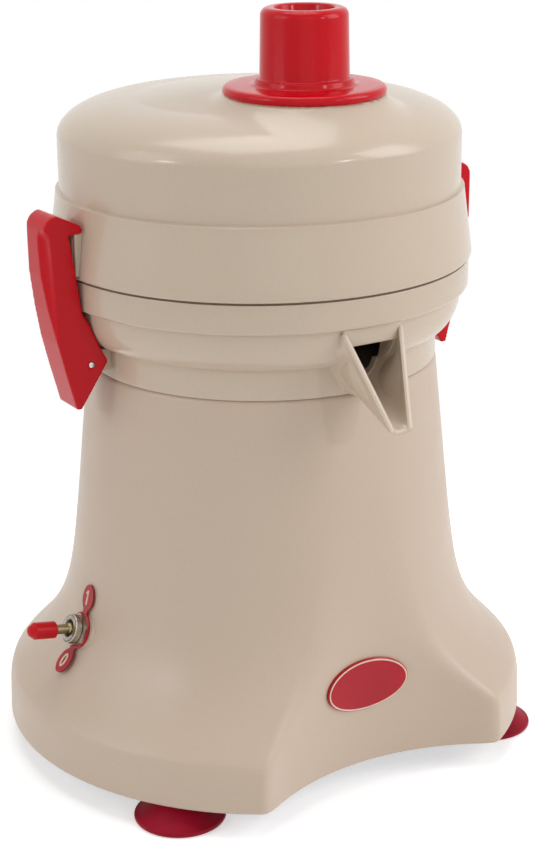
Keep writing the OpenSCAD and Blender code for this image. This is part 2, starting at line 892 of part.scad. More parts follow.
// Plain digits standing off the plate's ears: 1 above, 0 below
module switch_digits() {
    color("#f2ece0")
    at_switch() {
        at_ear(1)
            translate([0, 0, sheet_t])
                linear_extrude(height = digit_t)
                    polygon([[-digit_line / 2, -digit_h / 2], [digit_line / 2, -digit_h / 2],
                             [digit_line / 2, digit_h / 2], [-digit_line / 2, digit_h / 2],
                             [-digit_w / 2, digit_h / 4], [-digit_w / 2 + digit_line / 2,
                             digit_h / 4 - digit_line / 2], [-digit_line / 2, digit_h / 3]]);
        at_ear(-1)
            translate([0, 0, sheet_t])
                linear_extrude(height = digit_t)
                    difference() {
                        polygon(oval_points(digit_w, digit_h));
                        polygon(oval_points(digit_w - 2 * digit_line, digit_h - 2 * digit_line));
                    }
    }
}

// Lever frame: its pivot, turned down to the lower stop
module at_lever() {
    at_switch()
        translate([bushing_out - pivot_in, 0, 0])
            rotate([0, switch_throw / 2, 0])
                rotate([0, 90, 0])
                    children();
}

module switch_lever() {
    color("#c9b98a")
    at_lever() {
        cylinder(r = lever_r, h = lever_reach - cap_point, $fn = fine_fn);
        sphere(r = ball_r, $fn = fine_fn);
        rotate([90, 0, 0])
            cylinder(r = pivot_pin_r, h = pivot_pin_l, center = true, $fn = fine_fn);
    }
}

module switch_lever_cap() {
    color("#cf1420")
    at_lever()
        difference() {
            turned([[0, lever_reach - cap_l], [cap_r - cap_r / 8, lever_reach - cap_l],
                    [cap_r, lever_reach - cap_l + cap_r / 8], [cap_r, lever_reach - cap_point],
                    [cap_r * cap_nose_share, lever_reach - cap_point / 4], [0, lever_reach]]);
            translate([0, 0, lever_reach - cap_l - overrun])
                cylinder(r = lever_r + cap_bore_gap, h = cap_l - cap_point + overrun,
                         $fn = fine_fn);
        }
}

module motor_isolators() {
    color("#2a2a2a")
    round_axis(4, mount_pcr, 45)
        translate([0, 0, motor_top])
            ring(isolator_r, mount_screw_r + seat_gap, isolator_h);
}

module motor_mount_screws() {
    color("#b8b8b6")
    round_axis(4, mount_pcr, 45) {
        translate([0, 0, motor_top - end_bell_t])
            cylinder(r = mount_screw_r, h = deck_z - motor_top + end_bell_t - mount_head_t,
                     $fn = fine_fn);
        translate([0, 0, deck_z - mount_head_t])
            difference() {
                cylinder(r = mount_head_r, h = mount_head_t, $fn = fine_fn);
                translate([0, 0, mount_head_t / 2])
                    hexagon(mount_head_r, mount_head_t);
            }
    }
}

// An end bell with its face at height zero and its open side down
module end_bell() {
    difference() {
        union() {
            translate([0, 0, -end_bell_t])
                cylinder(r = end_bell_r, h = end_bell_t);
            translate([0, 0, -end_bell_h])
                ring(end_bell_r, end_bell_r - end_bell_wall, end_bell_h);
            translate([0, 0, -end_bell_t - bearing_h])
                cylinder(r = bearing_r + bearing_boss_w, h = bearing_h + overrun);
        }
        translate([0, 0, -end_bell_t - bearing_h - overrun])
            cylinder(r = bearing_r + seat_gap, h = bearing_h + overrun);
        translate([0, 0, -end_bell_h])
            cylinder(r = shaft_r + shaft_clear, h = end_bell_h + overrun);
        round_axis(4, through_bolt_pcr)
            translate([0, 0, -end_bell_t - overrun])
                cylinder(r = through_bolt_r + seat_gap, h = end_bell_t + 2 * overrun,
                         $fn = fine_fn);
        round_axis(4, mount_pcr, 45)
            translate([0, 0, -end_bell_t - overrun])
                cylinder(r = mount_screw_r + seat_gap, h = end_bell_t + 2 * overrun,
                         $fn = fine_fn);
    }
}

module upper_end_bell() {
    color("#a9abad")
    translate([0, 0, motor_top])
        end_bell();
}

module lower_end_bell() {
    color("#a9abad")
    translate([0, 0, motor_bottom])
        mirror([0, 0, 1])
            end_bell();
}

module stator_stack() {
    color("#6f7174")
    translate([0, 0, stack_bottom])
        difference() {
            cylinder(r = stator_r, h = stack_h);
            translate([0, 0, -overrun])
                cylinder(r = stator_bore_r, h = stack_h + 2 * overrun);
            round_axis(4, through_bolt_pcr)
                translate([0, 0, -overrun])
                    cylinder(r = through_bolt_r + seat_gap, h = stack_h + 2 * overrun,
                             $fn = fine_fn);
        }
}

module stator_windings() {
    color("#b5652d")
    for (z = [stack_top, stack_bottom - winding_h])
        translate([0, 0, z])
            ring(winding_out, winding_in, winding_h);
}

module motor_through_bolts() {
    color("#b8b8b6")
    round_axis(4, through_bolt_pcr) {
        translate([0, 0, motor_bottom - through_bolt_head_t])
            cylinder(r = through_bolt_head_r, h = through_bolt_head_t, $fn = fine_fn);
        translate([0, 0, motor_bottom - overrun])
            cylinder(r = through_bolt_r, h = motor_top - motor_bottom + overrun, $fn = fine_fn);
    }
}

module bearing() {
    difference() {
        ring(bearing_r, shaft_r + turn_gap, bearing_h);
        for (z = [-overrun, bearing_h - bearing_groove_t])
            translate([0, 0, z])
                ring((bearing_r + shaft_r) / 2 + bearing_groove_w,
                     (bearing_r + shaft_r) / 2 - bearing_groove_w,
                     bearing_groove_t + overrun);
    }
}

module upper_bearing() {
    color("#c9cbcd")
    translate([0, 0, motor_top - end_bell_t - bearing_h])
        bearing();
}

module lower_bearing() {
    color("#c9cbcd")
    translate([0, 0, motor_bottom + end_bell_t])
        bearing();
}

module motor_shaft() {
    color("#c4c6c8")
    translate([0, 0, fan_z - shaft_below])
        cylinder(r = shaft_r, h = shaft_top - fan_z + shaft_below);
}

module motor_rotor() {
    color("#85878a")
    translate([0, 0, stack_bottom]) {
        ring(rotor_r, shaft_r + turn_gap, stack_h);
        for (z = [-rotor_ring_h, stack_h])
            translate([0, 0, z])
                ring(rotor_r, rotor_r - rotor_ring_w, rotor_ring_h);
    }
}

module cooling_fan() {
    color("#3a3a3c")
    translate([0, 0, fan_z])
        difference() {
            union() {
                cylinder(r = fan_hub_r, h = fan_h);
                cylinder(r = fan_r, h = fan_disc_t);
                round_axis(fan_blades, 0)
                    translate([fan_hub_r - overrun, -fan_blade_t / 2, fan_disc_t / 2])
                        cube([fan_r - fan_hub_r, fan_blade_t, fan_h - fan_disc_t]);
            }
            translate([0, 0, -overrun])
                cylinder(r = shaft_r + turn_gap, h = fan_h + 2 * overrun);
        }
}

module shaft_seal() {
    color("#2a2a2a")
    translate([0, 0, cavity_top])
        ring(seal_r, shaft_r + turn_gap, deck_t);
}

// Coupling that carries the basket: a disc on a neck, with a skirt over the bowl's dam
module drive_hub() {
    color("#b9bcbe")
    translate([0, 0, hub_z])
        difference() {
            union() {
                cylinder(r = hub_r, h = hub_t);
                translate([0, 0, -hub_skirt_h])
                    ring(hub_r, dam_r + dam_wall + hub_dam_gap, hub_skirt_h);
            }
            translate([0, 0, -overrun])
                cylinder(r = shaft_r + turn_gap, h = hub_t + 2 * overrun);
        }
}

function basket_wall_r(z) = basket_r + basket_draft * (z - basket_z) / basket_h;

module strainer_basket() {
    top = basket_z + basket_h;
    color("#c8cacb")
    difference() {
        turned([[shaft_r + turn_gap, basket_z], [basket_r, basket_z],
                [basket_wall_r(top - basket_rim_h), top - basket_rim_h],
                [basket_wall_r(top) + basket_rim_w, top - basket_rim_h],
                [basket_wall_r(top) + basket_rim_w, top], [basket_wall_r(top) - basket_t, top],
                [basket_r - basket_t, grater_z], [shaft_r + turn_gap, grater_z]]);
        for (row = [0 : slot_rows - 1])
            round_axis(slot_count, basket_r - basket_draft)
                translate([0, -slot_w / 2, grater_z + slot_gap + row * (slot_h + slot_gap)])
                    cube([3 * basket_draft, slot_w, slot_h]);
    }
}

// Disc with rings of low chisel teeth
module grater_disc() {
    color("#d4d6d7")
    translate([0, 0, grater_z]) {
        ring(grater_r, shaft_r + turn_gap, grater_t);
        for (k = [0 : tooth_rings - 1])
            round_axis(tooth_count + tooth_more * k, tooth_first_r + k * tooth_pitch,
                       360 * k / tooth_rings)
                translate([0, tooth_t / 2, grater_t])
                    rotate([90, 0, 0])
                        linear_extrude(height = tooth_t)
                            polygon([[-tooth_w / 2, -grater_t / 2], [tooth_w / 2, -grater_t / 2],
                                     [tooth_w / 2, 0], [0, tooth_h], [-tooth_w / 2, 0]]);
    }
}

module basket_nut() {
    color("#b9bcbe")
    translate([0, 0, nut_z])
        difference() {
            hexagon(nut_flats, nut_h);
            translate([0, 0, -overrun])
                cylinder(r = shaft_r + turn_gap, h = nut_h + 2 * overrun);
        }
}

// Outside of the bowl: collar, convex bulge, step and band
module bowl_outside() {
    turned(concat(
        [[0, deck_z], [collar_r - turn_gap, deck_z], [collar_r, collar_top]],
        [for (i = [0 : arc_steps]) let (a = 90 * i / arc_steps)
            [collar_r + (bulge_r - collar_r) * sin(a),
             band_z - (band_z - collar_top) * cos(a)]],
        arc([band_r - band_round, band_z + band_round], band_round, -90, 0, arc_steps),
        [[band_r, rim_z], [0, rim_z]]));
}

module bowl_inside() {
    turned(concat(
        [[0, floor_top], [collar_r - bowl_wall, floor_top]],
        [for (i = [0 : arc_steps]) let (a = 90 * i / arc_steps)
            [collar_r - bowl_wall + (bulge_r - collar_r) * sin(a),
             band_z - (band_z - collar_top) * cos(a)]],
        [[band_r - bowl_wall, band_z + bowl_wall], [band_r - bowl_wall, rim_z + overrun],
         [0, rim_z + overrun]]));
}

// Section of a trough with a rounded underside
function trough(top_w, top_z, low_w, low_z, round_h) = concat(
    [[top_w / 2, top_z]],
    [for (i = [0 : arc_steps]) let (a = 180 * i / arc_steps)
        [low_w / 2 * cos(a), low_z + round_h * (1 - sin(a))]],
    [[-top_w / 2, top_z]]);

// A thin slice of an outline of [x, z] points across the spout's run
module slice(points, y) {
    translate([0, -y, 0])
        rotate([90, 0, 0])
            linear_extrude(height = slice_t) polygon(points);
}

module spout_outside() {
    hull() {
        slice(trough(spout_top_w, spout_top_z, spout_low_w, deck_z + spout_keel_up, spout_low_h),
              collar_r - spout_root_in);
        slice([[spout_top_w / 2, spout_top_z], [-spout_top_w / 2, spout_top_z],
               [0, spout_top_z - lintel_h]], spout_front_y);
        slice(trough(spout_tip_w, spout_tip_z, spout_tip_w, spout_tip_z - spout_tip_t,
                     spout_tip_t), spout_tip_y);
    }
}

module spout_inside() {
    soffit_z = spout_top_z - lintel_h;
    beyond = spout_tip_y + 2 * wall;
    inner_w = spout_tip_w - 2 * spout_wall;
    fall = (floor_top - spout_tip_z) / (spout_tip_y - collar_r + 2 * bowl_wall);
    low_z = spout_tip_z - 2 * wall * fall;
    hull() {
        slice(trough(mouth_w, soffit_z, spout_low_w - 2 * spout_tip_t, floor_top, spout_low_h),
              collar_r - mouth_in);
        slice(trough(inner_w + spout_splay * (soffit_z + lintel_rise - spout_tip_z),
                     soffit_z + lintel_rise, inner_w, low_z, spout_tip_t), beyond);
    }
}

module clamp_lugs() {
    for (side = [-1, 1])
        translate([side * pin_x, 0, pin_z]) {
            rotate([90, 0, 0])
                cylinder(r = lug_r, h = lug_w, center = true, $fn = fine_fn);
            translate([side > 0 ? collar_r - pin_x - bowl_wall / 2 : 0, -lug_w / 2, -lug_r])
                cube([pin_x - collar_r + bowl_wall / 2, lug_w, 2 * lug_r]);
        }
}

module juice_bowl() {
    color("#cbbfa9")
    difference() {
        union() {
            difference() {
                union() {
                    bowl_outside();
                    spout_outside();
                }
                bowl_inside();
                translate([0, 0, deck_z - overrun])
                    cylinder(r = collar_r - bowl_wall, h = bowl_floor_up + overrun);
            }
            clamp_lugs();
            translate([0, 0, floor_z])
                cylinder(r = dam_r + dam_wall, h = bowl_wall + dam_h);
        }
        spout_inside();
        translate([0, 0, floor_z - overrun])
            cylinder(r = dam_r, h = bowl_wall + dam_h + 2 * overrun);
        translate([0, 0, pin_z])
            rotate([90, 0, 0])
                for (side = [-1, 1])
                    translate([side * pin_x, 0, 0])
                        cylinder(r = pin_r + turn_gap, h = 2 * lug_w, center = true,
                                 $fn = fine_fn);
    }
}

module lid_gasket() {
    color("#4a4236")
    translate([0, 0, rim_z])
        ring(band_r - turn_gap, band_r - gasket_w, gasket_t);
}

function shoulder_points(inset, steps) =
    [for (i = [0 : steps]) let (a = 90 * i / steps)
        [lid_wall_r - lid_shoulder_w + (lid_shoulder_w - inset) * cos(a),
         lid_turn_z + (lid_shoulder_h - inset) * sin(a)]];
function dome_points(inset, steps) =
    let (r0 = lid_wall_r - lid_shoulder_w, z0 = lid_turn_z + lid_shoulder_h)
    [for (i = [1 : steps]) let (t = i / steps)
        [r0 * (1 - t), z0 - inset + (lid_top - z0) * (1 - pow(1 - t, 2))]];

module lid_outside() {
    turned(concat(
        [[0, lid_z], [lid_edge_r - lid_round, lid_z]],
        arc([lid_edge_r - lid_round, lid_z + lid_round], lid_round, -90, 0, arc_steps),
        [[bead_r, bead_z - bead_h], [bead_r - bead_h / 3, bead_z - bead_h / 5],
         [lid_wall_r + bead_h / 5, bead_z + bead_h / 3], [lid_wall_r, bead_z + bead_h]],
        shoulder_points(0, 2 * arc_steps), dome_points(0, dome_steps)));
}

module lid_inside() {
    turned(concat(
        [[0, lid_z - spigot_lid_h - overrun],
         [spigot_lid_r - spigot_lid_w, lid_z - spigot_lid_h - overrun],
         [spigot_lid_r - spigot_lid_w, lid_z + lid_round],
         [lid_edge_r - 2 * lid_wall, lid_z + 2 * lid_round],
         [bead_r - lid_wall - bead_h / 2, bead_z - bead_h],
         [lid_wall_r - lid_wall, bead_z + bead_h]],
        shoulder_points(lid_wall, 2 * arc_steps), dome_points(lid_wall, dome_steps)));
}

// The raised seat of the pusher: a cone about the chute's axis, kept within the lid's wall
module chute_boss() {
    depth = boss_seat_z - bead_z - bead_h;
    intersection() {
        translate([0, -chute_y, boss_seat_z - depth])
            cylinder(r1 = chute_boss_r + chute_boss_flare * depth, r2 = chute_boss_r, h = depth);
        translate([0, 0, bead_z + bead_h])
            cylinder(r = lid_wall_r, h = lid_h);
    }
}

// A ribbed catch under each hook
module lid_catch(side) {
    inner = lid_wall_r - lid_wall;
    rib_pitch = catch_w / (catch_ribs + 1);
    difference() {
        translate([side > 0 ? inner : -catch_x, -catch_w / 2, catch_top - catch_h])
            cube([catch_x - inner, catch_w, catch_h]);
        for (i = [0 : catch_ribs])
            translate([side * catch_x, (i - catch_ribs / 2) * rib_pitch,
                       catch_top - catch_h - overrun])
                cylinder(r = catch_groove, h = catch_h - overrun, $fn = fine_fn);
    }
}

module lid() {
    color("#cbbfa9")
    difference() {
        union() {
            difference() {
                union() {
                    lid_outside();
                    chute_boss();
                    translate([0, 0, lid_z - spigot_lid_h])
                        cylinder(r = spigot_lid_r, h = spigot_lid_h + overrun);
                }
                lid_inside();
            }
            difference() {
                for (side = [-1, 1])
                    lid_catch(side);
                translate([0, 0, lid_z - overrun])
                    cylinder(r = lid_wall_r - lid_wall, h = lid_h);
            }
        }
        translate([0, -chute_y, floor_top])
            cylinder(r = chute_bore_r + chute_wall + seat_gap, h = lid_h + bowl_h);
        translate([0, -chute_y, boss_seat_z - chute_collar_t])
            cylinder(r = chute_bore_r + chute_wall + chute_collar_w + seat_gap,
                     h = chute_collar_t + overrun);
    }
}

module feed_chute() {
    outer = chute_bore_r + chute_wall;
    color("#e4ddcb")
    translate([0, -chute_y, 0])
        difference() {
            union() {
                translate([0, 0, chute_bottom])
                    cylinder(r = outer, h = boss_seat_z - chute_bottom);
                translate([0, 0, boss_seat_z - chute_collar_t])
                    cylinder(r = outer + chute_collar_w, h = chute_collar_t);
            }
            translate([0, 0, chute_bottom - overrun])
                cylinder(r = chute_bore_r, h = lid_h + bowl_h);
        }
}

// Hat-shaped pusher: plunger, flange with a rolled edge, ring, tapered grip and a dished top
module pusher() {
    z0 = boss_seat_z;
    z1 = z0 + flange_t;
    z2 = z1 + grip_ring_h;
    top = z1 + grip_h;
    low = chute_bottom + plunger_end;
    grip_top_r = grip_r - grip_taper;
    color("#cf1420")
    translate([0, -chute_y, 0])
        turned(concat(
            [[0, low], [plunger_r - plunger_round, low], [plunger_r, low + plunger_round],
             [plunger_r, z0]],
            [[flange_r - flange_round, z0]],
            arc([flange_r - flange_round, z0 + flange_round], flange_round, -90, 90,
                arc_steps),
            [[grip_r + grip_ring_w, z1], [grip_r + grip_ring_w, z1 + grip_ring_h / 2],
             [grip_r, z2]],
            arc([grip_top_r - grip_round, top - grip_round], grip_round, 0, 90, arc_steps),
            [[dish_r, top], [dish_r - dish_round / 4, top - dish_depth + dish_round]],
            arc([dish_r - dish_round / 4 - dish_round, top - dish_depth + dish_round],
                dish_round, 0, -90, arc_steps),
            [[0, top - dish_depth]]));
}

// Outline of a clamp on the +X side: heel, bowed outer edge, rounded crown, hook and inner edge
function clamp_point(share) = [pin_x + share[0] * clamp_d, pin_z + share[1] * clamp_h];
function clamp_outline() = concat(
    [for (s = clamp_outer_shares) clamp_point(s)],
    arc([pin_x + crown_share * clamp_d - clamp_round, hook_z + clamp_crown - clamp_round],
        clamp_round, 0, crown_turn, arc_steps),
    [[hook_tip_x + hook_tip_t / 2, hook_z + hook_back_share * hook_tip_t],
     [hook_tip_x, hook_z + hook_tip_t / 2], [hook_tip_x + hook_tip_t / 4, hook_z],
     [pin_x + clamp_d * hook_share, hook_z]],
    [for (s = clamp_inner_shares) clamp_point(s)]);

// Room for the lug while the clamp swings out
module lug_slot() {
    reach = 2 * clamp_d;
    translate([pin_x, 0, pin_z]) {
        rotate([90, 0, 0])
            cylinder(r = wedge_r, h = lug_w + 2 * slot_gap_w, center = true, $fn = fine_fn);
        across([[0, wedge_r], [-reach, wedge_r],
                [-reach, -reach * tan(wedge_open) - wedge_r / cos(wedge_open)],
                [wedge_r * sin(wedge_open), -wedge_r * cos(wedge_open)]],
               lug_w + 2 * slot_gap_w);
    }
}

// Finger flute along one corner, which narrows the outer face towards the crown
module flute() {
    low = clamp_point(clamp_outer_shares[3]);
    top = [pin_x + clamp_d + flute_r * flute_top_shares[0],
           clamp_w / 2 - flute_r * flute_top_shares[1], hook_z - flute_r / 3];
    foot = [low[0] + flute_r * flute_foot_shares[0],
            clamp_w / 2 + flute_r * flute_foot_shares[1], low[1]];
    bar(foot, top, flute_r);
    translate(top)
        sphere(r = flute_r, $fn = fine_fn);
}

module clamp() {
    color("#c8141f")
    difference() {
        across(clamp_outline(), clamp_w);
        lug_slot();
        flute();
        translate([pin_x, 0, pin_z])
            rotate([90, 0, 0])
                cylinder(r = pin_r + turn_gap, h = clamp_w + 2 * overrun, center = true,
                         $fn = fine_fn);
    }
}

module clamp_pin() {
    color("#e2e0dc")
    translate([pin_x, 0, pin_z])
        rotate([90, 0, 0])
            cylinder(r = pin_r, h = clamp_w, center = true, $fn = fine_fn);
}

// The left clamp is the same moulding, turned half round
module left_clamp() {
    rotate([0, 0, 180])
        clamp();
}

module right_clamp() {
    clamp();
}

module left_clamp_pin() {
    rotate([0, 0, 180])
        clamp_pin();
}

module right_clamp_pin() {
    clamp_pin();
}

base_shell();
base_plate();
base_plate_screws();
foot_front_left();
foot_front_right();
foot_rear_left();
foot_rear_right();
foot_studs();
cable_gland();
gland_cap_nut();
gland_locknut();
terminal_block();
run_capacitor();
capacitor_clip();
front_badge();
switch_body();
switch_bushing();
switch_lock_washer();
switch_plate();
switch_digits();
switch_hex_nut();
switch_ring_nut();
switch_lever();
switch_lever_cap();
motor_isolators();
motor_mount_screws();
upper_end_bell();
lower_end_bell();
stator_stack();
stator_windings();
motor_through_bolts();
upper_bearing();
lower_bearing();
motor_shaft();
motor_rotor();
cooling_fan();
shaft_seal();
drive_hub();
strainer_basket();
grater_disc();
basket_nut();
juice_bowl();
lid_gasket();
lid();
feed_chute();
pusher();
left_clamp();
right_clamp();
left_clamp_pin();
right_clamp_pin();
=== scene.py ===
"""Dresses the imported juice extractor: modelled skins, procedural finishes, studio and camera.

Lengths in the classes are millimetres in the frame of the CAD model: the origin on the worktop
under the bowl's axis, the spout along -Y and the clamps on the X axis.
"""
import json
import logging
import math
from dataclasses import dataclass, field
from enum import Enum
from typing import Callable, Sequence

import bpy
import numpy as np
from mathutils import Matrix, Vector


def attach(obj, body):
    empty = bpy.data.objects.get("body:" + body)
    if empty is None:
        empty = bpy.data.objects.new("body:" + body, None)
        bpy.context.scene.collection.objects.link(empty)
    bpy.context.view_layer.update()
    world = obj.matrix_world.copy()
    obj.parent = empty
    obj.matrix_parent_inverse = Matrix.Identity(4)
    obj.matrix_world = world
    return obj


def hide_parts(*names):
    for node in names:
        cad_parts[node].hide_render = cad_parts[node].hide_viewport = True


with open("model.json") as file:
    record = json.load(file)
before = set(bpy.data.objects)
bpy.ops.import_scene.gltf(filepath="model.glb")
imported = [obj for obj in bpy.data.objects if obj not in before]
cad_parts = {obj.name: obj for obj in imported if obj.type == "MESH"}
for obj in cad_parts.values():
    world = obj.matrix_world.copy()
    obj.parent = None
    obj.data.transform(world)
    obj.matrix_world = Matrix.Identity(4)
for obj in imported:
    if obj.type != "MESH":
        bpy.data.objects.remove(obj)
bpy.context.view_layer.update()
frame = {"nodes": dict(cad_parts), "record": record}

log = logging.getLogger("juice_extractor")
MM = 0.001
# Places and sizes that several classes share
DECK_Z = 188.7
RIM_Z = 235.4
PANEL_Y = 89.0
SCOOP_R = 114.0
CHUTE_Y = 38.5
PIN_X = 92.5
PIN_Z = 197.9
Point = tuple[float, float]
Socket = bpy.types.NodeSocket
Thing = bpy.types.Object


def linear(code: str) -> tuple[float, float, float, float]:
    """Turns an sRGB hex colour into linear values.

    Args:
        code: six hexadecimal digits.

    Returns:
        Linear red, green and blue, and an alpha of 1.
    """
    srgb = [int(code[i:i + 2], 16) / 255 for i in (0, 2, 4)]
    return tuple(c / 12.92 if c <= 0.04045 else ((c + 0.055) / 1.055) ** 2.4 for c in srgb) + (1,)


def add_node(tree: bpy.types.NodeTree, kind: str, values: dict | None = None,
             links: dict | None = None, **settings: object) -> bpy.types.Node:
    """Adds a node with its settings, its values and its links.

    Args:
        tree: the node tree that takes the node.
        kind: the node's type, without the ShaderNode at its start.
        values: input name or number to a constant.
        links: input name or number to the output socket that feeds it.
        settings: attributes of the node.

    Returns:
        The new node.
    """
    node = tree.nodes.new("ShaderNode" + kind)
    for name, value in settings.items():
        setattr(node, name, value)
    for name, value in (values or {}).items():
        node.inputs[name].default_value = value
    for name, socket in (links or {}).items():
        tree.links.new(socket, node.inputs[name])
    return node


def noise(tree: bpy.types.NodeTree, place: Socket, size: float, detail: float = 2.0,
          roughness: float = 0.5) -> Socket:
    """Adds a noise pattern.

    Args:
        tree: the node tree.
        place: the coordinates.
        size: size of the pattern, in millimetres.
        detail: how many finer layers it has.
        roughness: how strong those are.

    Returns:
        Its value.
    """
    return add_node(tree, "TexNoise", {"Scale": 1 / (size * MM), "Detail": detail,
                                       "Roughness": roughness}, {"Vector": place}).outputs["Fac"]


def eased(tree: bpy.types.NodeTree, value: Socket, start: float, end: float, low: float = 0.0,
          high: float = 1.0) -> Socket:
    """Maps a value from one range to another, with soft ends.

    Args:
        tree: the node tree.
        value: the value.
        start: the value that gives the low end.
        end: the value that gives the high end.
        low: lowest result.
        high: highest result.

    Returns:
        The mapped value.
    """
    return add_node(tree, "MapRange", {"From Min": start, "From Max": end, "To Min": low,
                                       "To Max": high}, {"Value": value},
                    interpolation_type="SMOOTHSTEP").outputs["Result"]


def two_tone(tree: bpy.types.NodeTree, share: Socket, first: str, second: str) -> Socket:
    """Mixes two colours.

    Args:
        tree: the node tree.
        share: how much of the second colour shows.
        first: an sRGB hex colour.
        second: the other one.

    Returns:
        The mixed colour.
    """
    ramp = add_node(tree, "ValToRGB", links={"Fac": share})
    ramp.color_ramp.elements[0].color = linear(first)
    ramp.color_ramp.elements[1].color = linear(second)
    return ramp.outputs["Color"]


def combined(tree: bpy.types.NodeTree, operation: str, first: Socket, second: Socket) -> Socket:
    """Combines two values by a maths operation, clamped from 0 to 1."""
    return add_node(tree, "Math", links={0: first, 1: second}, operation=operation,
                    use_clamp=True).outputs["Value"]


def shaders_mixed(tree: bpy.types.NodeTree, share: Socket, first: Socket, second: Socket) -> Socket:
    """Mixes two shaders by a share."""
    return add_node(tree, "MixShader", links={0: share, 1: first, 2: second}).outputs[0]


def bare_tree(owner: bpy.types.Material | bpy.types.World) -> bpy.types.NodeTree:
    """Gives a material or the world an empty node tree."""
    owner.use_nodes = True
    owner.node_tree.nodes.clear()
    return owner.node_tree


class Surface(Enum):
    """How a finish's surface was made, which gives the pattern of its relief."""

    MOULDED = "moulded"
    SPRAYED = "sprayed"
    CAST = "cast"
    TURNED = "turned"
    BRUSHED = "brushed"
    PLATED = "plated"
    LAYERED = "layered"
    WOUND = "wound"


@dataclass(frozen=True)
class Finish:
    """A real material, how its surface was made, and the real sizes of its patterns.

    The colour drifts to the shade over the mottle, with specks as dark as the wear says; the
    grain and its relief come from the making; wipe marks smear the roughness by a share.
    """

    name: str
    slot: str
    colour: str
    shade: str
    surface: Surface
    roughness: float
    metallic: float = 0.0
    ior: float = 1.5
    coat: float = 0.0
    mottle_mm: float = 40.0
    grain_mm: float = 1.2
    relief_mm: float = 0.01
    wear: float = 0.05
    soft: float = 0.0
    speck_mm: float = 2.2
    smear_mm: float = 18.0
    smear: float = 0.12

    def material(self) -> bpy.types.Material:
        """Builds the finish's node material, once.

        Returns:
            The material.
        """
        made = bpy.data.materials.get(self.name)
        if made:
            return made
        made = bpy.data.materials.new(self.name)
        tree = bare_tree(made)
        place = add_node(tree, "TexCoord").outputs["Object"]
        shader = add_node(tree, "BsdfPrincipled", {
            "Metallic": self.metallic, "Coat Weight": self.coat, "Coat Roughness": 0.06})
        if not self.metallic:
            shader.inputs["IOR"].default_value = self.ior
        if self.soft:
            shader.inputs["Sheen Weight"].default_value = self.soft
            shader.inputs["Sheen Roughness"].default_value = 0.5
        add_node(tree, "OutputMaterial", links={"Surface": shader.outputs["BSDF"]})
        tree.links.new(self.tone(tree, place), shader.inputs["Base Color"])
        tree.links.new(self.gloss(tree, place), shader.inputs["Roughness"])
        relief = add_node(tree, "Bump", {"Strength": 1.0, "Distance": self.relief_mm * MM},
                          {"Height": self.height(tree, place)})
        tree.links.new(relief.outputs["Normal"], shader.inputs["Normal"])
        made.diffuse_color = linear(self.colour)
        return made

    def tone(self, tree: bpy.types.NodeTree, place: Socket) -> Socket:
        """Colour that drifts between the finish's two tones, with a few darker specks.

        Args:
            tree: the material's node tree.
            place: object coordinates.

        Returns:
            The colour socket.
        """
        drift = noise(tree, place, self.mottle_mm, 3.0, 0.55)
        speck = noise(tree, place, self.speck_mm)
        share = combined(tree, "ADD", eased(tree, drift, 0.25, 0.75),
                        eased(tree, speck, 0.62, 0.82, 0.0, self.wear))
        return two_tone(tree, share, self.colour, self.shade)

    def gloss(self, tree: bpy.types.NodeTree, place: Socket) -> Socket:
        """Roughness with faint wipe marks.

        Args:
            tree: the material's node tree.
            place: object coordinates.

        Returns:
            The roughness socket.
        """
        reach = self.roughness * self.smear
        return eased(tree, noise(tree, place, self.smear_mm), 0.2, 0.8,
                     self.roughness - reach, self.roughness + reach)

    def height(self, tree: bpy.types.NodeTree, place: Socket) -> Socket:
        """Relief that the making of the surface leaves.

        Args:
            tree: the material's node tree.
            place: object coordinates.

        Returns:
            The height socket, from 0 to 1.
        """
        rings = {"wave_type": "RINGS", "rings_direction": "Z"}
        waves = {
            Surface.LAYERED: ({"Distortion": 0.4, "Detail Scale": 2.0}, {"bands_direction": "Z"}),
            Surface.WOUND: ({"Distortion": 1.6, "Detail": 2.0}, rings),
            Surface.TURNED: ({"Distortion": 0.3}, rings)}
        if self.surface in waves:
            values, settings = waves[self.surface]
            scale = 1 / (self.grain_mm * MM) / 3
            return add_node(tree, "TexWave", {"Scale": scale, **values}, {"Vector": place},
                            **settings).outputs["Fac"]
        if self.surface is Surface.BRUSHED:
            drawn = add_node(tree, "Mapping", {"Scale": (0.06, 0.06, 1.0)}, {"Vector": place})
            place = drawn.outputs["Vector"]
        detail = {Surface.MOULDED: 2.0, Surface.SPRAYED: 1.0, Surface.PLATED: 1.0}
        return noise(tree, place, self.grain_mm, detail.get(self.surface, 5.0), 0.6)


# Gloss enamel sprayed on the aluminium casting: a soft ripple, hardly any specks
HOUSING_ENAMEL = Finish("sprayed_gloss_enamel", "cream_enamel", "CBB8A5", "C8B5A0",
                        Surface.SPRAYED, 0.4, mottle_mm=0.9, grain_mm=5.0,
                        relief_mm=0.006, wear=0.02)
# Moulded plastic of the bowl and lid: smoother and a little warmer than the enamel
BOWL_PLASTIC = Finish("moulded_cream_plastic", "cream_plastic", "CCBBA7", "C9B8A2",
                      Surface.MOULDED, 0.21, mottle_mm=1.0, grain_mm=7.0,
                      relief_mm=0.006, wear=0.02)
# Chute liner: the same family of plastic without pigment
CHUTE_PLASTIC = Finish("moulded_ivory_plastic", "ivory_plastic", "E2DAC4", "D8CDB4",
                       Surface.MOULDED, 0.3, mottle_mm=30, grain_mm=2.0, wear=0.2)
# Bright moulded red: deep gloss with a faint flow ripple
RED_PLASTIC = Finish("moulded_red_plastic", "red_plastic", "C80014", "C40013",
                     Surface.MOULDED, 0.17, ior=1.3, mottle_mm=2.5, grain_mm=3.5,
                     relief_mm=0.012, wear=0.1)
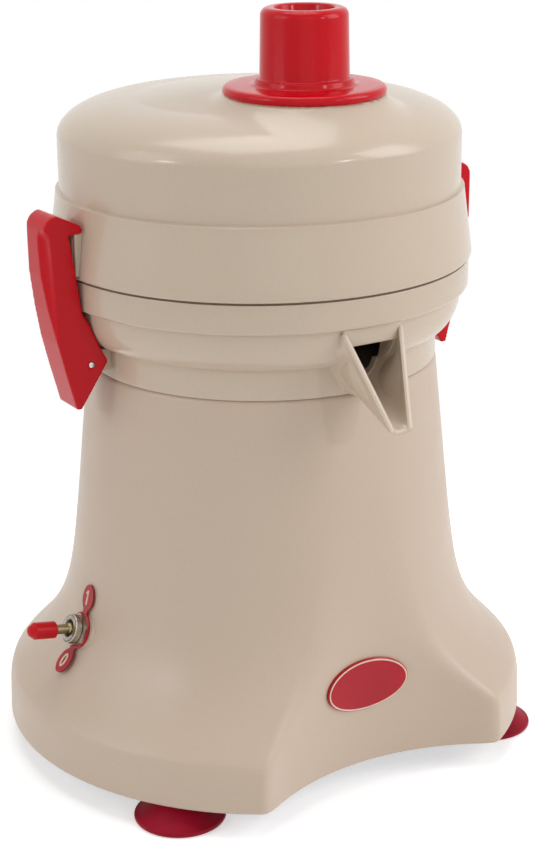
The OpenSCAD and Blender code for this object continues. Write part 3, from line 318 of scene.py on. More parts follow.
# Soft cap dipped over the lever: duller, with the skin's slight unevenness
RED_VINYL = Finish("dipped_red_vinyl", "red_vinyl", "C60515", "B80412",
                   Surface.MOULDED, 0.3, ior=1.32, mottle_mm=8, grain_mm=1.5, relief_mm=0.03)
# Dark red rubber of the feet, with the fine grain of its mould and some dust
RED_RUBBER = Finish("moulded_red_rubber", "red_rubber", "A00526", "8C041F",
                    Surface.CAST, 0.5, ior=1.25, mottle_mm=14, grain_mm=0.9, relief_mm=0.04,
                    wear=0.3, soft=0.05)
# Badge: stove enamel on thin sheet, the smoothest surface of the machine
BADGE_ENAMEL = Finish("stove_enamelled_badge", "red_badge", "B4041F", "A8031C",
                      Surface.SPRAYED, 0.18, ior=1.3, coat=0.2, mottle_mm=16, grain_mm=3.0,
                      relief_mm=0.006)
# Paint of the printed digits and of the badge's border
PALE_PAINT = Finish("printed_pale_paint", "pale_paint", "E6D0BC", "D9C1AC",
                    Surface.SPRAYED, 0.4, mottle_mm=6, grain_mm=0.5)
# Dull nickel over turned brass
NICKEL = Finish("dull_nickel_plate", "nickel_plate", "B9B2A6", "8F887B",
                Surface.TURNED, 0.28, metallic=1.0, mottle_mm=4, grain_mm=0.5,
                relief_mm=0.02, wear=0.5)
# The lever's brass, its plating worn dull
BRASS = Finish("dull_plated_brass", "brass", "A99A78", "86785A",
               Surface.TURNED, 0.32, metallic=1.0, mottle_mm=5, grain_mm=0.6,
               relief_mm=0.02, wear=0.5)
# Zinc-plated sheet and screws, spangled and a little clouded
ZINC = Finish("zinc_plated_steel", "zinc_steel", "ACADAD", "93959A",
              Surface.PLATED, 0.36, metallic=1.0, mottle_mm=9, grain_mm=1.4,
              relief_mm=0.02, wear=0.5)
# Black nylon of the cable gland
NYLON = Finish("moulded_black_nylon", "black_nylon", "1B1B1C", "222223",
               Surface.CAST, 0.5, mottle_mm=10, grain_mm=0.6, relief_mm=0.03)
# Brown-black phenolic body of the switch
PHENOLIC = Finish("moulded_phenolic", "dark_phenolic", "2C2019", "221812",
                  Surface.MOULDED, 0.35, mottle_mm=6, grain_mm=1.0)
# White plastic of the terminal block and the capacitor's can
WHITE_PLASTIC = Finish("moulded_white_plastic", "white_plastic", "DEDCD4", "D2CFC5",
                       Surface.MOULDED, 0.42, mottle_mm=12, grain_mm=1.0)
# Black rubber of the seal and the motor's isolators
BLACK_RUBBER = Finish("moulded_black_rubber", "black_rubber", "2A2520", "211D19",
                      Surface.CAST, 0.65, mottle_mm=9, grain_mm=0.8, relief_mm=0.04)
# The lid's gasket, rubber that juice has stained brown
STAINED_RUBBER = Finish("juice_stained_rubber", "black_rubber", "5E4C36", "4C3C29",
                        Surface.CAST, 0.6, mottle_mm=12, grain_mm=0.8, relief_mm=0.02, wear=0.4)
# Sand-cast aluminium of the motor's end bells and the hub
ALUMINIUM = Finish("sand_cast_aluminium", "cast_aluminium", "A9ABAE", "8F9296",
                   Surface.CAST, 0.48, metallic=1.0, mottle_mm=10, grain_mm=1.0,
                   relief_mm=0.12, wear=0.6)
# Stack of electrical steel sheets
LAMINATIONS = Finish("stacked_steel_laminations", "lamination_steel", "6E7178", "575A61",
                     Surface.LAYERED, 0.42, metallic=1.0, mottle_mm=14, grain_mm=0.5,
                     relief_mm=0.12)
# Enamelled winding wire, laid in turns
COPPER = Finish("enamelled_copper_wire", "copper_enamel", "A3562A", "7E3E1C",
                Surface.WOUND, 0.3, metallic=0.6, coat=0.5, mottle_mm=6, grain_mm=0.9,
                relief_mm=0.3)
# Ground steel of shaft, bearings and pins
GROUND_STEEL = Finish("ground_steel", "bearing_steel", "C9CBCE", "B4B7BB",
                      Surface.TURNED, 0.2, metallic=1.0, mottle_mm=7, grain_mm=0.4)
# Brushed stainless sheet of the basket and the grater
STAINLESS = Finish("brushed_stainless_steel", "stainless_steel", "C3C5C7", "ABAEB2",
                   Surface.BRUSHED, 0.3, metallic=1.0, mottle_mm=25, grain_mm=0.7,
                   relief_mm=0.03)
# Grey plastic of the cooling fan
GREY_PLASTIC = Finish("moulded_grey_plastic", "grey_plastic", "3A3B3E", "303134",
                      Surface.MOULDED, 0.45, mottle_mm=12, grain_mm=1.0)
FINISHES = (HOUSING_ENAMEL, BOWL_PLASTIC, CHUTE_PLASTIC, RED_PLASTIC, RED_VINYL, RED_RUBBER,
            BADGE_ENAMEL, PALE_PAINT, NICKEL, BRASS, ZINC, NYLON, PHENOLIC, WHITE_PLASTIC,
            BLACK_RUBBER, ALUMINIUM, LAMINATIONS, COPPER, GROUND_STEEL, STAINLESS, GREY_PLASTIC)


def deselect() -> None:
    """Leaves edit mode and selects nothing."""
    if bpy.context.object and bpy.context.object.mode != "OBJECT":
        bpy.ops.object.mode_set(mode="OBJECT")
    bpy.ops.object.select_all(action="DESELECT")


def take(piece: Thing) -> None:
    """Selects one piece alone and makes it active."""
    deselect()
    piece.select_set(True)
    bpy.context.view_layer.objects.active = piece


def edit(piece: Thing, select: str = "SELECT") -> None:
    """Opens a piece in edit mode with all of it selected, or with DESELECT nothing."""
    take(piece)
    bpy.ops.object.mode_set(mode="EDIT")
    bpy.ops.mesh.select_all(action=select)


def named(name: str) -> Thing:
    """Names the active object and its mesh.

    Args:
        name: the piece's name.

    Returns:
        The piece.
    """
    piece = bpy.context.object
    piece.name = piece.data.name = name
    return piece


def close_up(piece: Thing, gap: float = 0.004) -> None:
    """Merges doubles and turns the faces outwards.

    Args:
        piece: the piece.
        gap: distance within which vertices merge.
    """
    edit(piece)
    bpy.ops.mesh.remove_doubles(threshold=gap * MM)
    bpy.ops.mesh.normals_make_consistent(inside=False)
    bpy.ops.object.mode_set(mode="OBJECT")


def capped(piece: Thing) -> Thing:
    """Fills the open ends of a piece and splits its faces into triangles.

    Args:
        piece: the piece.

    Returns:
        The piece.
    """
    edit(piece, "DESELECT")
    bpy.ops.mesh.select_mode(type="EDGE")
    bpy.ops.mesh.select_non_manifold()
    bpy.ops.mesh.edge_face_add()
    bpy.ops.mesh.select_all(action="SELECT")
    bpy.ops.mesh.quads_convert_to_tris()
    bpy.ops.mesh.normals_make_consistent(inside=False)
    bpy.ops.mesh.select_mode(type="VERT")
    bpy.ops.object.mode_set(mode="OBJECT")
    return piece


def smooth(piece: Thing, angle: float) -> Thing:
    """Shades a piece smooth up to an angle between its faces.

    Args:
        piece: the piece.
        angle: largest smooth angle, in degrees.

    Returns:
        The piece.
    """
    take(piece)
    bpy.ops.object.shade_smooth_by_angle(angle=math.radians(angle))
    return piece


def reshape(piece: Thing, change: Callable[[np.ndarray], np.ndarray]) -> None:
    """Moves the vertices of a piece by a rule that no operator offers.

    Args:
        piece: the piece.
        change: takes the places of the vertices in millimetres and returns the new ones.
    """
    flat = np.empty(len(piece.data.vertices) * 3)
    piece.data.vertices.foreach_get("co", flat)
    moved = change(flat.reshape(-1, 3) / MM) * MM
    piece.data.vertices.foreach_set("co", moved.ravel())
    piece.data.update()


def modify(piece: Thing, kind: str, **settings: object) -> None:
    """Adds a modifier and applies it.

    Args:
        piece: the piece.
        kind: the modifier's type.
        settings: attributes of the modifier.
    """
    take(piece)
    step = piece.modifiers.new(kind.lower(), kind)
    for name, value in settings.items():
        setattr(step, name, value)
    bpy.ops.object.modifier_apply(modifier=step.name)


def carve(piece: Thing, tool: Thing) -> None:
    """Cuts a tool out of a piece and removes the tool.

    Args:
        piece: the piece.
        tool: the closed mesh that is used up.
    """
    modify(piece, "BOOLEAN", operation="DIFFERENCE", solver="EXACT", object=tool)
    bpy.data.objects.remove(tool)


def joined(piece: Thing, *others: Thing) -> Thing:
    """Joins other pieces into the first.

    Args:
        piece: the piece that stays.
        others: the pieces that go into it.

    Returns:
        The piece.
    """
    take(piece)
    for other in others:
        other.select_set(True)
    bpy.ops.object.join()
    return piece


def copied(piece: Thing, name: str, change: Matrix) -> Thing:
    """Copies a piece with its own mesh and settles its new place in the mesh.

    Args:
        piece: the model.
        name: the copy's name.
        change: where the copy goes from the model, in metres.

    Returns:
        The copy.
    """
    take(piece)
    bpy.ops.object.duplicate()
    copy = named(name)
    copy.matrix_world = change @ copy.matrix_world
    bpy.ops.object.transform_apply()
    return copy


def placed(piece: Thing, change: Matrix) -> Thing:
    """Moves a piece and settles the move in its mesh.

    Args:
        piece: the piece.
        change: the move, in metres.

    Returns:
        The piece.
    """
    take(piece)
    piece.matrix_world = change
    bpy.ops.object.transform_apply()
    return piece


def laid(piece: Thing, x: float, z: float) -> Thing:
    """Lays an upright piece along Y.

    Args:
        piece: the piece, its axis on Z.
        x: where its middle goes across.
        z: where its middle goes in height.

    Returns:
        The piece.
    """
    spot = Matrix.Translation(Vector((x, 0, z)) * MM)
    return placed(piece, spot @ Matrix.Rotation(math.pi / 2, 4, "X"))


def turned(name: str, outline: Sequence[Point], centre: Point = (0, 0), steps: int = 96,
           loop: bool = False) -> Thing:
    """Draws an outline point by point by extruding, then spins it about an upright axis.

    Args:
        name: the piece's name.
        outline: radius and height of each point, from below on the inside.
        centre: place of the axis.
        steps: steps of the spin.
        loop: whether the outline closes on itself away from the axis.

    Returns:
        The piece.
    """
    deselect()
    bpy.ops.mesh.primitive_circle_add(vertices=3, radius=MM)
    piece = named(name)
    x, y = centre
    track = [Vector((x + r, y, z)) * MM for r, z in outline]
    if loop:
        track.append(track[0])
    piece.data.vertices[0].co = track[0]
    edit(piece, "DESELECT")
    bpy.ops.object.mode_set(mode="OBJECT")
    for vertex in piece.data.vertices:
        vertex.select = vertex.index > 0
    bpy.ops.object.mode_set(mode="EDIT")
    bpy.ops.mesh.delete(type="VERT")
    bpy.ops.mesh.select_all(action="SELECT")
    for here, there in zip(track, track[1:]):
        bpy.ops.mesh.extrude_region_move(TRANSFORM_OT_translate={"value": there - here})
    bpy.ops.mesh.select_all(action="SELECT")
    bpy.ops.mesh.spin(steps=steps, angle=math.tau, center=Vector((x, y, 0)) * MM, axis=(0, 0, 1))
    bpy.ops.object.mode_set(mode="OBJECT")
    close_up(piece)
    return piece


def slab(name: str, outline: Sequence[Point], low: float, high: float) -> Thing:
    """Fills an outline in the X-Z plane and extrudes it along Y.

    Args:
        name: the piece's name.
        outline: X and Z of each corner.
        low: Y of one face.
        high: Y of the other face.

    Returns:
        The piece.
    """
    deselect()
    bpy.ops.mesh.primitive_circle_add(vertices=len(outline), radius=MM, fill_type="NGON")
    piece = named(name)
    for vertex, (x, z) in zip(piece.data.vertices, outline):
        vertex.co = Vector((x, low, z)) * MM
    edit(piece)
    bpy.ops.mesh.extrude_region_move(TRANSFORM_OT_translate={"value": (0, (high - low) * MM, 0)})
    bpy.ops.object.mode_set(mode="OBJECT")
    close_up(piece)
    return piece


def block(name: str, low: Sequence[float], high: Sequence[float], edge: float) -> Thing:
    """Adds a cube between two corners and rounds its edges.

    Args:
        name: the piece's name.
        low: lowest corner.
        high: highest corner.
        edge: width of the rounding.

    Returns:
        The piece.
    """
    deselect()
    size = Vector(high) - Vector(low)
    bpy.ops.mesh.primitive_cube_add(size=1, location=(Vector(low) + size / 2) * MM,
                                    scale=size * MM)
    piece = named(name)
    bpy.ops.object.transform_apply()
    modify(piece, "BEVEL", width=edge * MM, segments=3, limit_method="ANGLE")
    return piece


def arc(centre: Point, radius: float, start: float, end: float, steps: int) -> list[Point]:
    """Points of an arc.

    Args:
        centre: middle of the arc.
        radius: its radius.
        start: first angle, in degrees.
        end: last angle, in degrees.
        steps: number of runs.

    Returns:
        The points, both ends included.
    """
    angles = [math.radians(start + (end - start) * t) for t in shares(steps)]
    return [(centre[0] + radius * math.cos(a), centre[1] + radius * math.sin(a)) for a in angles]


def shares(steps: int) -> list[float]:
    """Evenly spaced values from 0 to 1."""
    return [i / steps for i in range(steps + 1)]


def spread(first: float, last: float, steps: int) -> list[float]:
    """Evenly spaced values, the first left out."""
    return [first + (last - first) * t for t in shares(steps)[1:]]


def mirrored(points: Sequence[Point]) -> list[Point]:
    """Points of an outline turned over its upright middle, in the other order."""
    return [(-x, z) for x, z in reversed(points)]


def soft_least(a: np.ndarray, b: np.ndarray, width: float) -> np.ndarray:
    """Lesser of two values with a rounded change from one to the other.

    Args:
        a: first value.
        b: second value.
        width: difference within which they blend.

    Returns:
        The blended value.
    """
    share = np.clip(0.5 + 0.5 * (b - a) / width, 0, 1)
    return b * (1 - share) + a * share - width * share * (1 - share)


def finished(piece: Thing, finish: Finish, body: str, node: str) -> None:
    """Gives a piece its finish, its body and the CAD node that it stands for.

    Args:
        piece: the piece.
        finish: its finish.
        body: the CAD body that it moves with.
        node: the node that it replaces.
    """
    if not piece.data.materials:
        piece.data.materials.append(finish.material())
    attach(piece, body)
    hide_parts(node)
    log.info("%s: %d faces, %s", piece.name, len(piece.data.polygons), finish.name)


@dataclass
class BellHousing:
    """Sprayed casting: bell with a skirt, a flared neck and a scooped panel front and rear."""

    skirt_r: float = 125.0
    low_z: float = 12.0
    deck_z: float = DECK_Z
    neck_r: float = 81.3
    neck_draft: float = 0.1
    wall: float = 4.0
    deck_t: float = 5.0
    shoulder_z: float = 34.5
    shoulder_round: float = 25.0
    shoulder_turn: float = 20.0
    skirt_draft: float = 0.4
    flare_h: float = 22.0
    flare_power: float = 1.3
    flare_rows: int = 48
    flare_bunch: float = 1.35
    inner_rows: int = 26
    inner_wall: float = 4.48
    deck_round: float = 2.2
    rim_round: float = 1.2
    panel_y: float = PANEL_Y
    scoop_r: float = SCOOP_R
    ridge: float = 6.0
    seal_r: float = 16.1
    spigot_r: float = 77.8
    spigot_w: float = 2.6
    spigot_h: float = 4.0
    switch_z: float = 67.5
    switch_tilt: float = 23.0
    pad_r: float = 8.0
    pad_up: float = 1.35
    pad_edge: float = 0.3
    pad_sunk: float = 3.5
    pad_foot: tuple[Point, ...] = ((3.4, -3.5), (2.6, -1.2), (1.4, -0.2), (0.5, 0.35))
    steps: int = 480
    smooth_to: float = 38.0

    def foot_of_flare(self) -> float:
        """Radius where the shoulder's arc ends."""
        return (self.skirt_r - self.skirt_draft
                - self.shoulder_round * (1 - math.cos(math.radians(self.shoulder_turn))))

    def radius(self, z: float) -> float:
        """Outer radius of the bell above its shoulder, at a height."""
        straight = self.neck_draft * (self.deck_z - self.shoulder_z)
        reach = self.foot_of_flare() - self.neck_r - straight
        fall = (max(0.0, z - self.shoulder_z) / self.flare_h) ** self.flare_power
        return self.neck_r + self.neck_draft * (self.deck_z - z) + reach * math.exp(-fall)

    def outline(self) -> list[Point]:
        """Section of the whole wall.

        Returns:
            The points, from the inner edge of the skirt round the outside and back.
        """
        low, top = self.low_z, self.deck_z - self.deck_round
        start = self.shoulder_z - self.shoulder_round * math.sin(math.radians(self.shoulder_turn))
        corner = (self.skirt_r - self.rim_round, low + self.rim_round)
        centre = (self.foot_of_flare()
                  - self.shoulder_round * math.cos(math.radians(self.shoulder_turn)), start)
        points = [(self.skirt_r - self.wall, low)]
        points += arc(corner, self.rim_round, -90, 0, 5)
        points += [(self.skirt_r - self.skirt_draft * (z - low) / (start - low), z)
                   for z in spread(low + self.rim_round, start, 8)]
        points += arc(centre, self.shoulder_round, 0, self.shoulder_turn, 10)[1:]
        flare = [self.shoulder_z + (top - self.shoulder_z) * t ** self.flare_bunch
                 for t in shares(self.flare_rows)[1:]]
        points += [(self.radius(z), z) for z in flare]
        points += arc((self.radius(top) - self.deck_round, top), self.deck_round, 8, 90, 6)
        ring, ceiling = self.spigot_r, self.deck_z - self.deck_t
        points += [(ring, self.deck_z), (ring, self.deck_z + self.spigot_h),
                   (ring - self.spigot_w, self.deck_z + self.spigot_h),
                   (ring - self.spigot_w, self.deck_z), (self.seal_r, self.deck_z),
                   (self.seal_r, ceiling)]
        return points + [(min(self.radius(z), self.foot_of_flare()) - self.inner_wall, z)
                         for z in [ceiling] + spread(ceiling, start, self.inner_rows)]

    def scooped(self, places: np.ndarray) -> np.ndarray:
        """Draws the wall in to the two scoops, with a rounded ridge.

        Args:
            places: vertices of the plain bell.

        Returns:
            Vertices of the scooped bell.
        """
        x, y, z = places.T
        radius = np.hypot(x, y)
        never = 1000.0
        bell = np.array([self.radius(h) if h > self.shoulder_z else self.skirt_r for h in z])
        depth = np.where(radius < bell - self.wall * 0.6, self.wall, 0.0)
        middle = self.panel_y + self.scoop_r
        across, along = middle * np.abs(x) / radius, middle * np.abs(y) / radius
        inside = (self.scoop_r + depth) ** 2 - across ** 2
        reach = np.where(inside > 0, along - np.sqrt(np.maximum(inside, 0)), never)
        wall = (radius > self.seal_r + 1) & (z < self.deck_z - self.deck_round)
        share = np.where(wall, soft_least(radius, reach, self.ridge), radius) / radius
        return np.column_stack((x * share, y * share, z))

    def switch_place(self) -> Matrix:
        """Place of the switch: its +Z axis is the bushing's, out of the left flank."""
        out = Matrix.Translation(Vector((-self.radius(self.switch_z), 0, self.switch_z)) * MM)
        return out @ Matrix.Rotation(math.radians(self.switch_tilt - 90), 4, "Y")

    def pad(self) -> Thing:
        """Models the raised seat of the switch, with a soft foot that sinks into the wall."""
        r, up, edge = self.pad_r, self.pad_up, self.pad_edge
        foot = [(r + out, rise) for out, rise in self.pad_foot]
        top = [(r, up - edge), (r - edge, up), (0, up)]
        piece = turned("switch_pad", [(0, -self.pad_sunk)] + foot + top)
        return placed(piece, self.switch_place())

    def build(self) -> None:
        """Models the housing and dresses it."""
        piece = turned("bell_casting", self.outline(), steps=self.steps, loop=True)
        reshape(piece, self.scooped)
        piece = smooth(joined(piece, self.pad()), self.smooth_to)
        finished(piece, HOUSING_ENAMEL, "housing", "base_shell")


@dataclass
class PouringSpout:
    """Open trough that narrows as it falls from the bowl, with a lintel and a mouth above it."""

    top_w: float = 31.4
    top_z: float = 220.4
    front_y: float = 93.0
    tip_w: float = 11.4
    tip_y: float = 115.5
    drop: float = 39.0
    root_y: float = 78.0
    keel_z: float = 192.7
    keel_w: float = 12.0
    keel_taper: float = 0.3
    keel_round: float = 4.0
    tip_t: float = 2.0
    tip_round: float = 1.2
    root_rows: int = 12
    tip_rows: int = 40
    side_rows: int = 10
    under_rows: int = 12
    hollow_rows: int = 24
    first_y: float = 80.0
    last_root_y: float = 91.0
    first_tip_y: float = 91.5
    wall: float = 2.6
    edge: float = 0.6
    rim_in: float = 0.5
    rim_drop: float = 0.1
    slant_over: float = 10.0
    slant_power: float = 0.1
    floor_share: float = 0.9
    floor_rise: float = 0.07
    hollow_powers: tuple[float, float] = (0.8, 0.7)
    lintel_h: float = 6.5
    lintel_d: float = 6.0
    lintel_in: float = 0.7
    lintel_up: float = 1.6
    lintel_round: float = 0.9
    mouth_w: float = 24.4
    mouth_edge: float = 1.2
    mouth_rows: int = 10
    mouth_powers: tuple[float, float] = (0.5, 1.5)
    mouth_from: float = 68.0
    mouth_to: float = 98.0
    fillet: float = 12.0
    fillet_share: float = 0.3
    fillet_fade: float = 7.0

    def edges(self, y: float) -> tuple[float, float, float, float]:
        """Form of the spout at a distance in front of the axis.

        Args:
            y: the distance.

        Returns:
            Half width and height of the wall's top, height of the keel and its rounding.
        """
        run = max(0.0, (y - self.front_y) / (self.tip_y - self.front_y))
        low = (y - self.root_y) / (self.tip_y - self.root_y)
        half = (self.top_w + (self.tip_w - self.top_w) * run) / 2
        tip_keel = self.top_z - self.drop - self.tip_t
        return (half, self.top_z - self.drop * run,
                self.keel_z + (tip_keel - self.keel_z) * low,
                self.keel_round + (self.tip_round - self.keel_round) * low)

    def section(self, y: float) -> list[Point]:
        """Section across the spout: the outside from left to right, then the inside back.

        Args:
            y: distance in front of the axis.

        Returns:
            X and Z of the points.
        """
        half, top, keel, lift = self.edges(y)
        along = (y - self.root_y) / (self.tip_y - self.root_y)
        low_half, edge = self.keel_w / 2 - self.keel_taper * along, top - self.edge
        slant = min(1.0, (top - keel) / self.slant_over) ** self.slant_power
        left = [(-half + (half - low_half) * t * slant, edge + (keel + lift - edge) * t)
                for t in shares(self.side_rows)[:-1]]
        under = [(-low_half * math.cos(math.pi * t), keel + lift * (1 - math.sin(math.pi * t)))
                 for t in shares(self.under_rows)]
        inner, across, down = half - self.wall, *self.hollow_powers
        floor = min(top - self.floor_share, keel + self.tip_t * self.floor_share
                    + self.floor_rise * max(0, self.front_y - y))
        turns = [math.pi * t for t in shares(self.hollow_rows)]
        hollow = [(inner * math.copysign(abs(math.cos(a)) ** across, math.cos(a)),
                   edge - (edge - floor) * max(0.0, math.sin(a)) ** down) for a in turns]
        low = top - self.rim_drop
        rim = [(half - self.rim_in, low), (half - self.wall / 2, top), (inner + self.rim_in, low)]
        return left + under + mirrored(left) + rim + hollow + mirrored(rim)

    def trough(self, skin: Callable[[np.ndarray], np.ndarray]) -> Thing:
        """Models the open trough by lofting its sections.

        The section changes all along the run, so the loft is a grid whose vertices are placed
        by the section, with a fillet where the outside meets the bowl.

        Args:
            skin: gives the bowl's outer radius at heights.

        Returns:
            The trough.
        """
        stations = (list(np.linspace(self.first_y, self.last_root_y, self.root_rows))
                    + list(np.linspace(self.first_tip_y, self.tip_y, self.tip_rows)))
        loops = [self.section(float(y)) for y in stations]
        places = np.array([[(x, -y, z) for x, z in loop + loop[:1]]
                           for y, loop in zip(stations, loops)])
        self.flare_foot(places, skin)
        deselect()
        bpy.ops.mesh.primitive_grid_add(x_subdivisions=len(loops[0]),
                                        y_subdivisions=len(stations) - 1, size=MM)
        piece = named("spout_trough")
        reshape(piece, lambda grid: places.reshape(grid.shape))
        close_up(piece)
        return capped(piece)

    def flare_foot(self, places: np.ndarray, skin: Callable[[np.ndarray], np.ndarray]) -> None:
        """Widens the outside of the trough where it nears the bowl, like a fillet.

        Args:
            places: rows of section points, changed in place.
            skin: gives the bowl's outer radius at heights.
        """
        outside = 2 * self.side_rows + self.under_rows + 1
        for row in places:
            ring = row[:outside]
            out = np.hypot(ring[:, 0], ring[:, 1]) - skin(ring[:, 2])
            near = np.clip(1 - out / self.fillet, 0, 1.2)
            grow = self.fillet * self.fillet_share * near ** 2
            step = np.gradient(ring, axis=0)
            normal = np.column_stack((step[:, 2], np.zeros(len(ring)), -step[:, 0]))
            normal /= np.maximum(np.linalg.norm(normal, axis=1, keepdims=True), 1e-6)
            fade = np.clip((ring[0, 2] - ring[:, 2]) / self.fillet_fade, 0, 1)
            ring += normal * (grow * fade)[:, None] * np.where(normal[:, 2:3] > 0.9, 0, 1)

    def mouth(self, floor: float) -> Thing:
        """Models the cutter of the opening in the bowl's wall.

        Args:
            floor: height of the bowl's floor.

        Returns:
            The cutter.
        """
        soffit, half, edge = self.top_z - self.lintel_h, self.mouth_w / 2, self.mouth_edge
        across, down = self.mouth_powers
        turns = [math.pi / 2 * t for t in shares(self.mouth_rows)]
        right = [(half * math.cos(a) ** across,
                  floor + (soffit - 2 - floor) * (1 - math.sin(a) ** down)) for a in turns]
        top = [(half - edge, soffit), (half, soffit - edge)]
        return slab("mouth_cutter", right + mirrored(right[:-1]) + mirrored(top) + top,
                    -self.mouth_to, -self.mouth_from)

    def lintel(self) -> Thing:
        """Models the bar that bridges the top of the spout."""
        half = self.top_w / 2 - self.lintel_in
        return block("lintel", (-half, -self.front_y - 0.1, self.top_z - self.lintel_h),
                     (half, -self.front_y + self.lintel_d, self.top_z + self.lintel_up),
                     self.lintel_round)


@dataclass
class JuiceBowl:
    """Moulded bowl with a collar, a bulge, a band, clamp lugs and a pouring spout."""

    deck_z: float = DECK_Z
    collar_r: float = 81.2
    collar_h: float = 14.0
    wall: float = 3.0
    edge: float = 0.8
    floor_in: float = 3.0
    band_r: float = 95.7
    band_round: float = 1.8
    bulge_r: float = 92.5
    bulge_z: float = 221.8
    bulge_rows: int = 16
    rim_z: float = RIM_Z
    floor_up: float = 4.6
    dam_r: float = 10.0
    dam_wall: float = 3.0
    dam_h: float = 8.0
    dam_in: float = 2.0
    lug_r: float = 5.0
    lug_w: float = 9.0
    lug_edge: float = 0.5
    spout: PouringSpout = field(default_factory=PouringSpout)
    steps: int = 288
    smooth_to: float = 34.0

    def bulge(self, inset: float) -> list[Point]:
        """Points of the convex bulge over the collar.

        Args:
            inset: distance inside the outer face.

        Returns:
            The points, from the collar up.
        """
        low = self.deck_z + self.collar_h
        turns = [math.pi / 2 * t for t in shares(self.bulge_rows)]
        return [(self.collar_r - inset + (self.bulge_r - self.collar_r) * math.sin(a),
                 self.bulge_z - (self.bulge_z - low) * math.cos(a)) for a in turns]

    def outer_r(self, z: np.ndarray) -> np.ndarray:
        """Outer radius of the bowl at given heights, its ledge smoothed away."""
        fillet = self.spout.fillet
        low = self.deck_z + self.collar_h - fillet / 2
        rise = np.clip((z - low) / (self.bulge_z - fillet / 4 - low), 0, 1)
        return self.collar_r + (self.bulge_r - self.collar_r) * rise ** 2 * (3 - 2 * rise)

    def outline(self) -> list[Point]:
        """Section of the bowl's wall, floor and dam.

        Returns:
            The points, from the floor's underside round the outside and back over the floor.
        """
        floor, dam_r = self.deck_z + self.floor_up, self.dam_r + self.dam_wall
        inner, edge, low, high = self.collar_r - self.wall, self.edge, self.floor_in, self.dam_in
        points = [(self.dam_r, floor), (inner, floor), (inner, self.deck_z)]
        points += arc((self.collar_r - edge, self.deck_z + edge), edge, -90, 0, 4)
        points += self.bulge(0)
        points += arc((self.band_r - self.band_round, self.bulge_z + self.band_round),
                      self.band_round, -90, 0, 6)
        points += arc((self.band_r - edge / 2, self.rim_z - edge / 2), edge / 2, 0, 90, 3)
        points += [(self.band_r - self.wall, self.rim_z),
                   (self.band_r - self.wall, self.bulge_z + self.wall)]
        points += list(reversed(self.bulge(self.wall)))
        floor += self.wall
        points += arc((inner - low, floor + low), low, 0, -90, 5)
        points += arc((dam_r + high, floor + high), high, -90, -180, 4)
        return points + [(dam_r, floor + self.dam_h), (self.dam_r, floor + self.dam_h)]

    def lug(self, side: int) -> Thing:
        """Models a clamp lug: a boss about the pin on a root that runs into the collar.

        Args:
            side: -1 for the left one, 1 for the right one.

        Returns:
            The lug.
        """
        r, half, edge = self.lug_r, self.lug_w / 2, self.lug_edge
        boss = turned("lug", [(0, -half), (r - edge, -half), (r, -half + edge),
                              (r, half - edge), (r - edge, half), (0, half)], steps=48)
        near, far = sorted((side * (self.collar_r - 1), side * PIN_X))
        root = block("lug_root", (near, -half, PIN_Z - r), (far, half, PIN_Z + r), edge)
        return joined(laid(boss, side * PIN_X, PIN_Z), root)

    def build(self) -> None:
        """Models the bowl and dresses it."""
        piece = turned("juice_bowl_moulding", self.outline(), steps=self.steps, loop=True)
        carve(piece, self.spout.mouth(self.deck_z + self.floor_up + self.wall))
        piece = joined(piece, self.spout.trough(self.outer_r), self.spout.lintel(),
                       self.lug(-1), self.lug(1))
        finished(smooth(piece, self.smooth_to), BOWL_PLASTIC, "housing", "juice_bowl")


